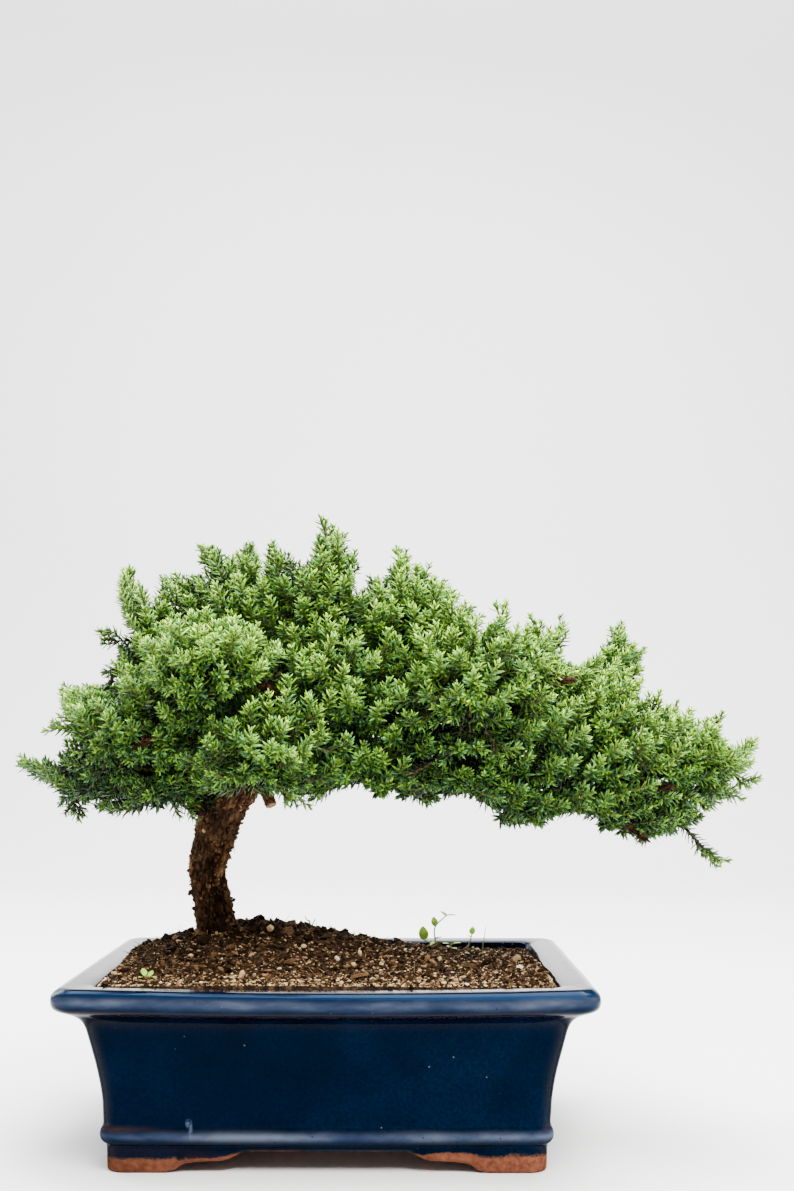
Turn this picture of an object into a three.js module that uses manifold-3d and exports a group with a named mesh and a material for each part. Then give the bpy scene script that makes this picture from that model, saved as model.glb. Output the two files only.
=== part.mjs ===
// A juniper bonsai in a glazed rectangular pot. Millimetres, +Z up.
//
// Pot frame: the origin lies on the table under the middle of the pot, x runs along its front
// and y to its back. At the end the whole group is moved so that the middle of its box is on the axis.
import * as THREE from 'three';
import { mergeVertices } from 'three/addons/utils/BufferGeometryUtils.js';
import Module from 'manifold-3d';

const wasm = await Module();
wasm.setup();

// ---- Driving dimensions ------------------------------------------------------------------

const GAP = 0.3;                       // between two pieces that touch

const POT = {
  length: 203.2,                       // over the rim, 8 inches
  depth: 152.4,                        // over the rim, 6 inches
  height: 69,
  corner: 7,                           // radius of the upright corners
  innerCorner: 5,
  cornerSteps: 3,
  floor: 15,                           // height of the floor inside
  underside: 7.7,                      // height of the underside between the feet
  bracket: 14,                         // width of the bracket feet
  drainRadius: 8,
  drainX: 42,
};

// How far the wall lies in from the rim's outer edge, and at what height, from the foot up to
// the lip and down the inside.
const POT_OUTSIDE = [
  [19, 0], [18.3, 9.8], [16.4, 11.6], [16.4, 15], [17.4, 16.8], [16.8, 26],
  [14.7, 37.3], [11, 51], [9, 56], [5.5, 59.6], [0.8, 61.6], [0, 65.5], [2.8, 69],
];
const POT_INSIDE = [[12.9, 69], [13.9, 67.8], [15, 65], [18.5, 57], [21, 40], [25, 15]];

// Half of the bracket outline cut under the pot: the distance from the corner and the height.
const BRACKET = [[22, 0], [26.5, 1.1], [29, 3.2], [36, 4], [44, 4.2], [48.5, 5.8], [51, 7.7]];
const SIDE_BRACKET_SCALE = 0.69;       // the brackets are shorter on the pot's sides

const SCREEN = { size: 23, thickness: 1, holes: 3, hole: 4.6, pitch: 6.6 };

const SOIL = {
  edge: 66.3,                          // height along the rim
  mound: 14,                           // height of the mound over that
  moundAt: [-38, 16],
  moundLeft: 42,
  moundRight: 62,
  moundDepth: 42,
  crumb: 0.8,                          // how far the crumbs stand out
  sides: 36,
  rings: 5,
};

// The trunk and limbs: their own points from root to tip, and the radius at each end.
const TRUNK = {
  points: [
    [-50, 17, 42], [-49.5, 15.5, 66], [-50, 14, 78], [-52.3, 11.5, 93], [-53.2, 9, 105],
    [-51.4, 7, 117], [-47, 5, 129], [-41, 3, 142], [-32, 1, 156], [-21, 1, 168], [-8, 4, 178],
  ],
  radii: [9, 11, 10, 7.9, 7.8, 8.2, 9.2, 10, 8.2, 7, 5.6],
  sides: 9,
};
const LIMBS = {
  leftLow: { points: [[-43, 3, 142], [-62, -4, 149], [-84, -4, 148], [-104, 0, 147]], radii: [4, 1.6] },
  leftFront: { points: [[-36, 1, 152], [-50, -22, 160], [-72, -32, 166]], radii: [3.6, 1.7] },
  leftBack: { points: [[-33, 1, 156], [-54, 28, 170], [-86, 40, 174]], radii: [3.2, 1.6] },
  leftUp: { points: [[-21, 1, 168], [-40, 0, 188], [-66, 6, 206]], radii: [3.6, 1.8] },
  crownLeft: { points: [[-21, 1, 168], [-30, 10, 190], [-40, 14, 214]], radii: [3.6, 1.8] },
  apex: { points: [[-8, 4, 178], [-8, 6, 200], [-6, 2, 222]], radii: [3.6, 1.7] },
  frontUp: { points: [[-18, 2, 170], [-30, -24, 184], [-44, -42, 190]], radii: [3, 1.7] },
  frontLow: { points: [[-35, 1, 154], [-32, -24, 154], [-29, -46, 158]], radii: [3, 1.7] },
  backUp: { points: [[-21, 1, 168], [-32, 26, 184], [-52, 46, 196]], radii: [3, 1.7] },
  rightMain: {
    points: [[-8, 4, 178], [20, 4, 184], [50, 0, 180], [80, -4, 169], [108, -6, 156], [134, -3, 147],
      [152, 0, 152]],
    radii: [5.2, 1.6],
  },
  backCentre: { points: [[-6, 4, 178], [2, 26, 188], [12, 46, 196]], radii: [2.8, 1.7] },
  crownRight: { points: [[14, 4, 183], [24, 4, 198], [30, 1, 212]], radii: [3, 1.7] },
  rightFront: { points: [[34, 2, 182], [48, -16, 184], [61, -30, 187]], radii: [3, 1.7] },
  rightBack: { points: [[40, 2, 182], [58, 28, 184], [74, 44, 184]], radii: [2.8, 1.7] },
  rightLow: { points: [[62, -2, 176], [66, -8, 162], [70, -14, 146], [84, -18, 134]], radii: [2.8, 1.7] },
  centreLow: { points: [[24, 4, 183], [24, 0, 170], [24, -4, 156]], radii: [2.4, 1.6] },
  tailBack: { points: [[92, -5, 164], [118, 20, 162], [138, 36, 160]], radii: [2.6, 1.6] },
  tailSprig: { points: [[108, 10, 163], [122, 34, 174], [128, 48, 186]], radii: [2.2, 1.5] },
  tailLow: { points: [[118, -5, 152], [128, 0, 138], [136, 5, 130], [150, 8, 126]], radii: [2.4, 1.6] },
};
const STUB = { points: [[-36, -3, 146], [-29, -10, 140], [-26, -13, 134]], radii: [2.8, 2.2] };
const LIMB_SIDES = 5;
const TWIG_RADII = [1.8, 1.7];         // the twig that carries one spray
const TWIG_SIDES = 3;

// Foliage pads: the middle, the reach along x, y and z, and how many sprays fill the pad.
const PADS = [
  { at: [-104, 5, 144], reach: [29, 22, 15], sprays: 2 },
  { at: [-86, -28, 167], reach: [27, 22, 15], sprays: 2 },
  { at: [-80, 10, 204], reach: [21, 24, 25], sprays: 2 },
  { at: [-42, 15, 222], reach: [23, 26, 25], sprays: 2 },
  { at: [-6, 0, 223], reach: [18, 20, 26], sprays: 1 },
  { at: [-51, -50, 192], reach: [24, 18, 17], sprays: 1 },
  { at: [-27, -54, 153], reach: [22, 16, 18], sprays: 1 },
  { at: [-72, -8, 143], reach: [22, 20, 13], sprays: 1 },
  { at: [0, -14, 154], reach: [20, 18, 14], sprays: 1 },
  { at: [-48, -22, 176], reach: [16, 16, 12], sprays: 1 },
  { at: [5, -22, 184], reach: [21, 24, 22], sprays: 1 },
  { at: [31, 0, 214], reach: [23, 25, 25], sprays: 2 },
  { at: [64, -35, 188], reach: [26, 22, 26], sprays: 2 },
  { at: [40, -14, 168], reach: [16, 16, 11], sprays: 1 },
  { at: [60, -10, 150], reach: [27, 22, 14], sprays: 2 },
  { at: [88, -14, 139], reach: [24, 18, 14], sprays: 1 },
  { at: [98, -16, 165], reach: [22, 20, 14], sprays: 1 },
  { at: [124, -10, 163], reach: [24, 22, 19], sprays: 2 },
  { at: [129, 52, 194], reach: [12, 12, 16], sprays: 1 },
  { at: [159, 0, 151], reach: [19, 20, 17], sprays: 2 },
  { at: [139, 8, 129], reach: [24, 16, 12], sprays: 2 },
  { at: [-62, 50, 198], reach: [26, 20, 20], sprays: 2 },
  { at: [-10, 56, 196], reach: [24, 20, 22], sprays: 1 },
  { at: [36, 54, 200], reach: [24, 20, 20], sprays: 1 },
  { at: [80, 48, 184], reach: [26, 20, 17], sprays: 2 },
  { at: [-104, 38, 172], reach: [22, 18, 13], sprays: 1 },
  { at: [28, -6, 146], reach: [20, 18, 12], sprays: 1 },
  { at: [90, 8, 193], reach: [20, 18, 16], sprays: 1 },
  { at: [140, 38, 158], reach: [20, 16, 13], sprays: 1 },
];
// Single leading shoots that reach out of the pads.
const LEADERS = [
  [-5, 0, 256], [-133, 2, 152], [-94, 8, 235], [179, 0, 158], [164, 6, 109], [131, 58, 215],
  [27, 0, 243], [-28, 14, 246], [-60, 16, 246], [-41, 14, 247], [70, -24, 216], [-126, 34, 184],
  [-75, 10, 232], [1, 2, 250], [8, 4, 238], [17, 0, 228], [60, 4, 215], [86, 4, 212], [98, 6, 211],
  [107, 6, 187], [139, 54, 203], [147, 4, 174], [163, 0, 171], [177, 0, 144], [-12, -40, 137],
  [-99, 10, 189], [90, -24, 150], [106, -20, 146], [108, -8, 135], [142, -14, 144], [160, -4, 137],
  [134, 10, 120], [69, -12, 136], [38, -12, 146], [40, -6, 136], [20, -8, 141], [5, -16, 144],
  [131, 32, 181], [60, 2, 205], [38, 2, 234], [47, 4, 225], [-17, 8, 234], [-47, 14, 238],
  [-66, 6, 217], [-106, 28, 184], [-112, -4, 160],
];

const NEEDLE = {
  length: 5.6,
  lean: 0.82,                          // angle to the shoot, in radians
  spread: 0.14,                        // how much length and lean vary
  whorl: 4.6,                          // length of shoot that holds six needles
  shortest: 0.35,                      // share of its length below which it is left out
  clearance: 0.5,                      // kept from wood and from other shoots
};
const SHOOT = {
  spacing: 27.4,                       // between neighbouring tips
  radius: 1.05,
  bare: 3,                             // stem without needles, next to the spray's axis
  bud: 3.6,                            // the pointed end over the last needles
  shortest: 9,
  leading: 15,
  fork: 0.9,                           // how far ahead of its root a tip lies, for each step aside
  sag: 0.08,
  overlap: 0.8,                        // a tip this deep in another pad is left out
};
const SPRAY = {
  axis: 12,                            // length of its core at most
  radii: [1.7, 1.3],                   // of the core, from its base to its hub
  out: 0.45,                           // how far out in its pad a hub stands
};
const SEEDS = { soil: 7, shoots: 21, needles: 5 };

const COLOURS = {
  glaze: '#16315f', soil: '#3a2a20', bark: '#4a3427', screen: '#20242a', seedling: '#9dbb4a',
  deadTwig: '#5b4636', foliage: ['#4f7a3f', '#5a8747', '#65934d', '#557f4c'],
};

// ---- Small helpers -----------------------------------------------------------------------

const vector = ([x, y, z]) => new THREE.Vector3(x, y, z);
const clamp = THREE.MathUtils.clamp;

// A seeded source of numbers from 0 to 1.
function randomFrom(seed) {
  let state = seed;
  return () => {
    state = (state + 0x6d2b79f5) | 0;
    let mix = Math.imul(state ^ (state >>> 15), 1 | state);
    mix = (mix + Math.imul(mix ^ (mix >>> 7), 61 | mix)) ^ mix;
    return ((mix ^ (mix >>> 14)) >>> 0) / 4294967296;
  };
}

// A closed solid from corner points and triangles.
function solidFrom(points, triangles) {
  return new wasm.Manifold(new wasm.Mesh({
    numProp: 3,
    vertProperties: new Float32Array(points.flatMap((p) => [p.x, p.y, p.z])),
    triVerts: new Uint32Array(triangles),
  }));
}

function solidFromGeometry(geometry, matrix = new THREE.Matrix4()) {
  const bare = geometry.clone().applyMatrix4(matrix);
  bare.deleteAttribute('normal');
  bare.deleteAttribute('uv');
  const merged = mergeVertices(bare, 1e-4);
  return new wasm.Manifold(new wasm.Mesh({
    numProp: 3,
    vertProperties: new Float32Array(merged.attributes.position.array),
    triVerts: new Uint32Array(merged.index.array),
  }));
}

function union(solids) {
  return solids.reduce((whole, solid) => whole.add(solid));
}

// The outer skin of a solid's largest body, without scraps or sealed hollows.
function largestBody(solid) {
  return solid.decompose().reduce((best, body) => (body.volume() > best.volume() ? body : best));
}

function meshFrom(name, solid, colour, roughness = 0.8) {
  const { vertProperties, triVerts, numProp } = solid.getMesh();
  const positions = [];
  for (let i = 0; i < vertProperties.length; i += numProp) {
    positions.push(vertProperties[i], vertProperties[i + 1], vertProperties[i + 2]);
  }
  const geometry = new THREE.BufferGeometry();
  geometry.setAttribute('position', new THREE.Float32BufferAttribute(positions, 3));
  geometry.setIndex(Array.from(triVerts));
  geometry.computeVertexNormals();
  const material = new THREE.MeshStandardMaterial({ color: colour, roughness, metalness: 0 });
  const mesh = new THREE.Mesh(geometry, material);
  mesh.name = name;
  return mesh;
}

// A closed skin over rings with the same number of points, with a flat cap at both ends.
function loft(rings) {
  const count = rings[0].length;
  const last = (rings.length - 1) * count;
  const triangles = [];
  for (let start = 0; start < last; start += count) {
    for (let i = 0; i < count; i++) {
      const a = start + i;
      const b = start + ((i + 1) % count);
      triangles.push(a, b, b + count, a, b + count, a + count);
    }
  }
  for (let i = 1; i + 1 < count; i++) {
    triangles.push(0, i + 1, i, last, last + i, last + i + 1);
  }
  return solidFrom(rings.flat(), triangles);
}

// ---- Pot ---------------------------------------------------------------------------------

// A rounded rectangle that lies `inset` in from the rim's outer edge.
function potRing(inset, height, corner) {
  const middleX = POT.length / 2 - inset - corner;
  const middleY = POT.depth / 2 - inset - corner;
  const ring = [];
  for (let quarter = 0; quarter < 4; quarter++) {
    const signX = quarter === 0 || quarter === 3 ? 1 : -1;
    const signY = quarter < 2 ? 1 : -1;
    for (let step = 0; step <= POT.cornerSteps; step++) {
      const angle = (quarter + step / POT.cornerSteps) * (Math.PI / 2);
      const x = signX * middleX + corner * Math.cos(angle);
      const y = signY * middleY + corner * Math.sin(angle);
      ring.push(new THREE.Vector3(x, y, height));
    }
  }
  return ring;
}

// The space between two feet, as a bar that runs right through under the pot.
function footSpace(halfWidth, reach, scale) {
  const shape = new THREE.Shape();
  const side = BRACKET.map(([along, height]) => [halfWidth - along * scale, height]);
  shape.moveTo(side[0][0], -1);
  side.forEach(([x, z]) => shape.lineTo(x, z));
  side.reverse().forEach(([x, z]) => shape.lineTo(-x, z));
  shape.lineTo(-side.at(-1)[0], -1);
  const bar = new THREE.ExtrudeGeometry(shape, { depth: 2 * reach, bevelEnabled: false });
  return bar.translate(0, 0, -reach).rotateX(Math.PI / 2);
}

function drainHoles() {
  return [-POT.drainX, POT.drainX].map((x) => {
    const hole = new THREE.CylinderGeometry(POT.drainRadius, POT.drainRadius, 2 * POT.floor, 14);
    return solidFromGeometry(hole.rotateX(Math.PI / 2).translate(x, 0, POT.floor));
  });
}

function potSolid() {
  const outside = POT_OUTSIDE.map(([inset, height]) => potRing(inset, height, POT.corner));
  const inside = POT_INSIDE.map(([inset, height]) => potRing(inset, height, POT.innerCorner));
  const footX = POT.length / 2 - POT_OUTSIDE[0][0];
  const footY = POT.depth / 2 - POT_OUTSIDE[0][0];
  const recess = new THREE.BoxGeometry(
    2 * (footX - POT.bracket), 2 * (footY - POT.bracket), 2 * POT.underside);
  const turn = new THREE.Matrix4().makeRotationZ(Math.PI / 2);
  return [
    solidFromGeometry(footSpace(footX, POT.depth, 1)),
    solidFromGeometry(footSpace(footY, POT.length, SIDE_BRACKET_SCALE), turn),
    solidFromGeometry(recess),
    ...drainHoles(),
  ].reduce((pot, cut) => pot.subtract(cut), loft([...outside, ...inside]));
}

// ---- Drain screens -----------------------------------------------------------------------

function screenBottom() {
  return POT.floor + GAP;
}

function screenSolid(x) {
  const height = screenBottom() + SCREEN.thickness / 2;
  const at = new THREE.Matrix4().makeTranslation(x, 0, height);
  let screen = solidFromGeometry(new THREE.BoxGeometry(SCREEN.size, SCREEN.size, SCREEN.thickness), at);
  const hole = new THREE.BoxGeometry(SCREEN.hole, SCREEN.hole, 4);
  for (let row = 0; row < SCREEN.holes; row++) {
    for (let column = 0; column < SCREEN.holes; column++) {
      const dx = (column - (SCREEN.holes - 1) / 2) * SCREEN.pitch;
      const dy = (row - (SCREEN.holes - 1) / 2) * SCREEN.pitch;
      const place = new THREE.Matrix4().makeTranslation(x + dx, dy, height);
      screen = screen.subtract(solidFromGeometry(hole, place));
    }
  }
  return screen;
}

// The room that a screen takes under the soil.
function screenRoom(x) {
  const side = SCREEN.size + 2 * GAP;
  const top = screenBottom() + SCREEN.thickness + GAP;
  return solidFromGeometry(new THREE.BoxGeometry(side, side, 2 * (top - POT.floor)).translate(x, 0, POT.floor));
}

// ---- Soil --------------------------------------------------------------------------------

function soilHeight(x, y) {
  const [moundX, moundY] = SOIL.moundAt;
  const width = x < moundX ? SOIL.moundLeft : SOIL.moundRight;
  const away = ((x - moundX) / width) ** 2 + ((y - moundY) / SOIL.moundDepth) ** 2;
  return SOIL.edge + SOIL.mound * Math.exp(-away);
}

// The point of the pot's inner outline in a given direction from the trunk.
function soilEdge(angle, inset, middle) {
  const halfX = POT.length / 2 - inset;
  const halfY = POT.depth / 2 - inset;
  const dx = Math.cos(angle);
  const dy = Math.sin(angle);
  const toX = (dx > 0 ? halfX - middle.x : -halfX - middle.x) / dx;
  const toY = (dy > 0 ? halfY - middle.y : -halfY - middle.y) / dy;
  const reach = Math.min(Math.abs(toX), Math.abs(toY));
  const x = middle.x + reach * dx;
  const y = middle.y + reach * dy;
  return roundedCorner(x, y, halfX, halfY);
}

// Pulls a point of a rectangle's outline in onto its rounded corner.
function roundedCorner(x, y, halfX, halfY) {
  const radius = POT.innerCorner + 1;
  const coreX = clamp(x, radius - halfX, halfX - radius);
  const coreY = clamp(y, radius - halfY, halfY - radius);
  const away = Math.hypot(x - coreX, y - coreY);
  const pull = away > radius ? radius / away : 1;
  return new THREE.Vector3(coreX + (x - coreX) * pull, coreY + (y - coreY) * pull, 0);
}

function soilSolid() {
  const random = randomFrom(SEEDS.soil);
  const middle = new THREE.Vector3(TRUNK.points[1][0], TRUNK.points[1][1], 0);
  const angles = Array.from({ length: SOIL.sides }, (_, i) => (i + 0.5) * (2 * Math.PI / SOIL.sides));
  const walls = POT_INSIDE.slice(2).reverse().map(([inset, height]) => {
    const level = height === POT.floor ? height + GAP : height;
    return angles.map((angle) => soilEdge(angle, inset + 1.2 * GAP, middle).setZ(level));
  });
  const edge = walls.at(-1);
  const surface = [];
  for (let ring = 0; ring < SOIL.rings; ring++) {
    const share = 0.985 * (1 - ring / SOIL.rings) ** 1.15;
    surface.push(edge.map((point) => {
      const place = point.clone().lerp(middle, 1 - share);
      const crumb = SOIL.crumb * (2 * random() - 1) * (ring > 0 ? 1 : 0.3);
      return place.setZ(soilHeight(place.x, place.y) + crumb);
    }));
  }
  return loft([...walls, ...surface]);
}

// ---- Tree --------------------------------------------------------------------------------

// A tube along a curve, with its radius given along it and grown by `extra`.
function tube(curve, radii, sides, steps, extra = 0) {
  const frames = curve.computeFrenetFrames(steps, false);
  const rings = [];
  for (let step = 0; step <= steps; step++) {
    const along = step / steps;
    const slot = Math.min(Math.floor(along * (radii.length - 1)), radii.length - 2);
    const share = along * (radii.length - 1) - slot;
    const radius = THREE.MathUtils.lerp(radii[slot], radii[slot + 1], share) + extra;
    const middle = curve.getPoint(along);
    if (step === 0) middle.addScaledVector(frames.tangents[0], -extra);
    if (step === steps) middle.addScaledVector(frames.tangents[steps], extra);
    const ring = [];
    for (let side = 0; side < sides; side++) {
      const angle = side * (2 * Math.PI / sides);
      const point = middle.clone().addScaledVector(frames.normals[step], radius * Math.cos(angle));
      ring.push(point.addScaledVector(frames.binormals[step], radius * Math.sin(angle)));
    }
    rings.push(ring);
  }
  return loft(rings);
}

const curveThrough = (points) => new THREE.CatmullRomCurve3(points.map(vector), false, 'centripetal');

// Every stretch of wood but the twigs: its curve, radii, sides and steps.
function woodStretches() {
  const trunk = { curve: curveThrough(TRUNK.points), radii: TRUNK.radii, sides: TRUNK.sides, steps: 11 };
  const limbs = [...Object.values(LIMBS), STUB].map(({ points, radii }) => ({
    curve: curveThrough(points), radii, sides: LIMB_SIDES, steps: points.length - 1,
  }));
  return [trunk, ...limbs];
}

// The place on the wood where a twig to the given point starts.
function nearestWood(stretches, target) {
  let best = { away: Infinity };
  for (const { curve } of stretches.slice(0, -1)) {
    for (let step = 8; step <= 20; step++) {
      const place = curve.getPoint(step / 20);
      const away = place.distanceTo(target);
      if (away < best.away) best = { away, place };
    }
  }
  return best.place;
}

// ---- Foliage -----------------------------------------------------------------------------

// One spray for each part of a pad, with its hub, the point that its shoots grow from.
function layOutSprays(stretches) {
  const sprays = [];
  for (const pad of PADS) {
    for (let part = 0; part < pad.sprays; part++) {
      const angle = (part + 0.25) * (2 * Math.PI / pad.sprays);
      const out = pad.sprays > 1 ? SPRAY.out : 0;
      const hub = vector(pad.at);
      hub.x += out * pad.reach[0] * Math.cos(angle);
      hub.y += out * pad.reach[1] * Math.sin(angle);
      sprays.push({ hub, root: nearestWood(stretches, hub) });
    }
  }
  const hubs = sprays.map(({ hub }) => hub);
  sprays.forEach((spray, index) => {
    const { hub, root } = spray;
    spray.index = index;
    spray.cell = cellAround(hubs, index);
    const back = hub.clone().lerp(root, Math.min(SPRAY.axis / hub.distanceTo(root), 0.7));
    spray.base = hub.clone().lerp(back, 0.95 * shareInside(spray.cell, hub, back));
  });
  return sprays;
}

function depthInPad(pad, point) {
  const [x, y, z] = ['x', 'y', 'z'].map((axis, i) => (point[axis] - pad.at[i]) / pad.reach[i]);
  return Math.hypot(x, y, z);
}

// Shoot tips spread evenly over every pad, but for those that lie inside another one.
function shootTips() {
  const random = randomFrom(SEEDS.shoots);
  const tips = LEADERS.map(vector);
  const golden = Math.PI * (3 - Math.sqrt(5));
  for (const pad of PADS) {
    const [rx, ry, rz] = pad.reach;
    const area = 4 * Math.PI * ((((rx * ry) ** 1.6 + (rx * rz) ** 1.6 + (ry * rz) ** 1.6) / 3) ** (1 / 1.6));
    const count = Math.round(area / SHOOT.spacing ** 2);
    for (let i = 0; i < count; i++) {
      const up = 1 - (2 * i + 1) / count;
      const angle = golden * i + 0.5 * random();
      const level = Math.sqrt(1 - up * up);
      const size = 0.95 + 0.12 * random();
      const tip = new THREE.Vector3(
        pad.at[0] + rx * size * level * Math.cos(angle),
        pad.at[1] + ry * size * level * Math.sin(angle),
        pad.at[2] + rz * size * up);
      const hidden = PADS.some((other) => other !== pad && depthInPad(other, tip) < SHOOT.overlap);
      const crowded = tips.some((other) => other.distanceTo(tip) < 0.6 * SHOOT.spacing);
      if (!hidden && !crowded) tips.push(tip);
    }
  }
  return tips;
}

// Gives each tip to the spray with the nearest hub, and a leading shoot to a spray left without.
function layOutShoots(sprays) {
  const shoots = shootTips().map((tip) => {
    const nearest = sprays.reduce((best, spray) => (
      spray.hub.distanceTo(tip) < best.hub.distanceTo(tip) ? spray : best));
    return { tip, owner: nearest };
  }).filter(({ tip, owner }) => owner.hub.distanceTo(tip) > SHOOT.shortest);
  for (const spray of sprays) {
    if (shoots.every(({ owner }) => owner !== spray)) {
      const ahead = spray.hub.clone().sub(spray.base).setLength(SHOOT.leading).add(spray.hub);
      const tip = spray.hub.clone().lerp(ahead, 0.95 * shareInside(spray.cell, spray.hub, ahead));
      shoots.push({ tip, owner: spray });
    }
  }
  const middles = shoots.map(({ tip, owner }) => tip.clone().lerp(owner.hub, 0.35));
  shoots.forEach((shoot, index) => {
    shoot.cell = cellAround(middles, index);
  });
  return shoots;
}

// The planes that keep one point's surroundings apart from those of all the others.
function cellAround(points, index) {
  const own = points[index];
  return points.filter((_, other) => other !== index).map((other) => {
    const normal = other.clone().sub(own).normalize();
    const offset = normal.dot(own.clone().add(other).multiplyScalar(0.5)) - GAP / 2;
    return { normal, offset };
  });
}

// How much of the way from one point to another lies inside a cell, from 0 to 1.
function shareInside(cell, from, to) {
  let share = 1;
  for (const { normal, offset } of cell) {
    const depth = offset - normal.dot(from);
    const climb = normal.dot(to) - normal.dot(from);
    if (climb > 0) share = Math.min(share, depth / climb);
  }
  return clamp(share, 0, 1);
}

// A curve as straight stretches with a radius.
function linesAlong(curve, steps, fromRadius, toRadius) {
  const points = curve.getPoints(steps);
  return points.slice(1).map((point, i) => ({
    line: new THREE.Line3(points[i], point),
    radius: THREE.MathUtils.lerp(fromRadius, toRadius, (i + 0.5) / steps),
  }));
}

function distanceTo(line, point) {
  return line.closestPointToPoint(point, true, new THREE.Vector3()).distanceTo(point);
}

// A shoot as a slim three-sided core whose six faces between two rings are each raised to a needle.
function shootSolid(curve, spray, shootCell, blocked, random) {
  const length = curve.getLength();
  const whorls = Math.max(1, Math.round((length - SHOOT.bare - SHOOT.bud) / NEEDLE.whorl));
  const turn = 2 * Math.PI * random();
  const points = [curve.getPoint(0)];
  const triangles = [];
  const rings = Array.from({ length: whorls + 1 }, (_, ring) => {
    const along = SHOOT.bare + (length - SHOOT.bare - SHOOT.bud) * (ring / whorls);
    const station = along / length;
    const middle = curve.getPointAt(station);
    const ahead = curve.getTangentAt(station);
    const side = new THREE.Vector3(0.31, 0.22, 0.92).cross(ahead).normalize();
    const up = ahead.clone().cross(side);
    const start = points.length;
    for (let corner = 0; corner < 3; corner++) {
      const angle = turn + (corner + ring / 2) * (2 * Math.PI / 3);
      const point = middle.clone().addScaledVector(side, SHOOT.radius * Math.cos(angle));
      point.addScaledVector(up, SHOOT.radius * Math.sin(angle));
      points.push(middle.clone().lerp(point, shareInside(spray.cell, middle, point)));
    }
    return { start, middle, ahead };
  });

  const addNeedle = (corners, ring) => {
    const foot = new THREE.Vector3();
    corners.forEach((corner) => foot.addScaledVector(points[corner], 1 / 3));
    const vary = () => 1 + NEEDLE.spread * (2 * random() - 1);
    const lean = NEEDLE.lean * vary();
    const reach = NEEDLE.length * vary();
    const out = foot.clone().sub(ring.middle);
    out.addScaledVector(ring.ahead, -out.dot(ring.ahead)).normalize();
    const tip = foot.clone().addScaledVector(ring.ahead, reach * Math.cos(lean));
    tip.addScaledVector(out, reach * Math.sin(lean));
    const share = Math.min(shareInside(spray.cell, foot, tip), shareInside(shootCell, foot, tip));
    const [a, b, c] = corners;
    tip.lerpVectors(foot, tip, share);
    if (share < NEEDLE.shortest || blocked(foot, tip)) {
      triangles.push(a, b, c);
      return;
    }
    const apex = points.push(tip) - 1;
    triangles.push(a, b, apex, b, c, apex, c, a, apex);
  };

  const bottom = rings[0].start;
  const top = rings.at(-1).start;
  const bud = points.push(curve.getPoint(1)) - 1;
  for (let corner = 0; corner < 3; corner++) {
    const next = (corner + 1) % 3;
    triangles.push(0, bottom + next, bottom + corner);
    for (let ring = 0; ring < whorls; ring++) {
      const { start } = rings[ring];
      const above = rings[ring + 1].start;
      addNeedle([start + corner, start + next, above + corner], rings[ring]);
      addNeedle([start + next, above + next, above + corner], rings[ring + 1]);
    }
    triangles.push(top + corner, top + next, bud);
  }
  return solidFrom(points, triangles);
}

// A shoot's line: it forks off the spray's axis and bends a little upwards.
function shootCurve({ base, hub }, tip) {
  const axis = hub.clone().sub(base);
  const reach = axis.length();
  axis.normalize();
  const toTip = tip.clone().sub(base);
  const ahead = toTip.dot(axis);
  const aside = Math.sqrt(Math.max(toTip.lengthSq() - ahead * ahead, 0));
  const root = base.clone().addScaledVector(axis, clamp(ahead - SHOOT.fork * aside, 1.5, reach - 1));
  const middle = root.clone().lerp(tip, 0.5);
  middle.z -= SHOOT.sag * root.distanceTo(tip);
  return new THREE.QuadraticBezierCurve3(root, middle, tip);
}

function spraySolid(spray, shoots, woodLines, woodRoom) {
  const random = randomFrom(SEEDS.needles + spray.index);
  const axis = new THREE.LineCurve3(spray.base, spray.hub);
  const curves = shoots.map(({ tip }) => shootCurve(spray, tip));
  const nearWood = woodLines.filter(({ line }) => distanceTo(line, spray.hub) < 3 * SHOOT.spacing);
  const parts = [tube(axis, SPRAY.radii, TWIG_SIDES, 1)];
  curves.forEach((curve, index) => {
    const others = curves.filter((other) => other !== curve)
      .flatMap((other) => linesAlong(other, 3, SHOOT.radius, SHOOT.radius));
    const blocked = (foot, tip) => [0.45, 0.75, 1].some((share) => {
      const point = foot.clone().lerp(tip, share);
      return [...nearWood, ...others].some(
        ({ line, radius }) => distanceTo(line, point) < radius + NEEDLE.clearance);
    });
    parts.push(shootSolid(curve, spray, shoots[index].cell, blocked, random));
  });
  return largestBody(union(parts).subtract(woodRoom));
}

// ---- Seedlings and dead twig -------------------------------------------------------------

// A pointed leaf blade, flat and five-sided, from its foot to its tip.
function leafSolid(foot, tip, width, thickness = 0.7) {
  const along = tip.clone().sub(foot);
  const side = new THREE.Vector3(-along.y, along.x, 0).normalize();
  if (side.lengthSq() < 0.5) side.set(1, 0, 0);
  const up = side.clone().cross(along).normalize().multiplyScalar(thickness / 2);
  const outline = [[0, -0.15], [0.55, -0.5], [1, 0], [0.55, 0.5], [0, 0.15]];
  const flat = outline.map(([share, across]) => foot.clone().addScaledVector(along, share)
    .addScaledVector(side, -across * width));
  return loft([flat.map((p) => p.clone().sub(up)), flat.map((p) => p.clone().add(up))]);
}

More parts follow.
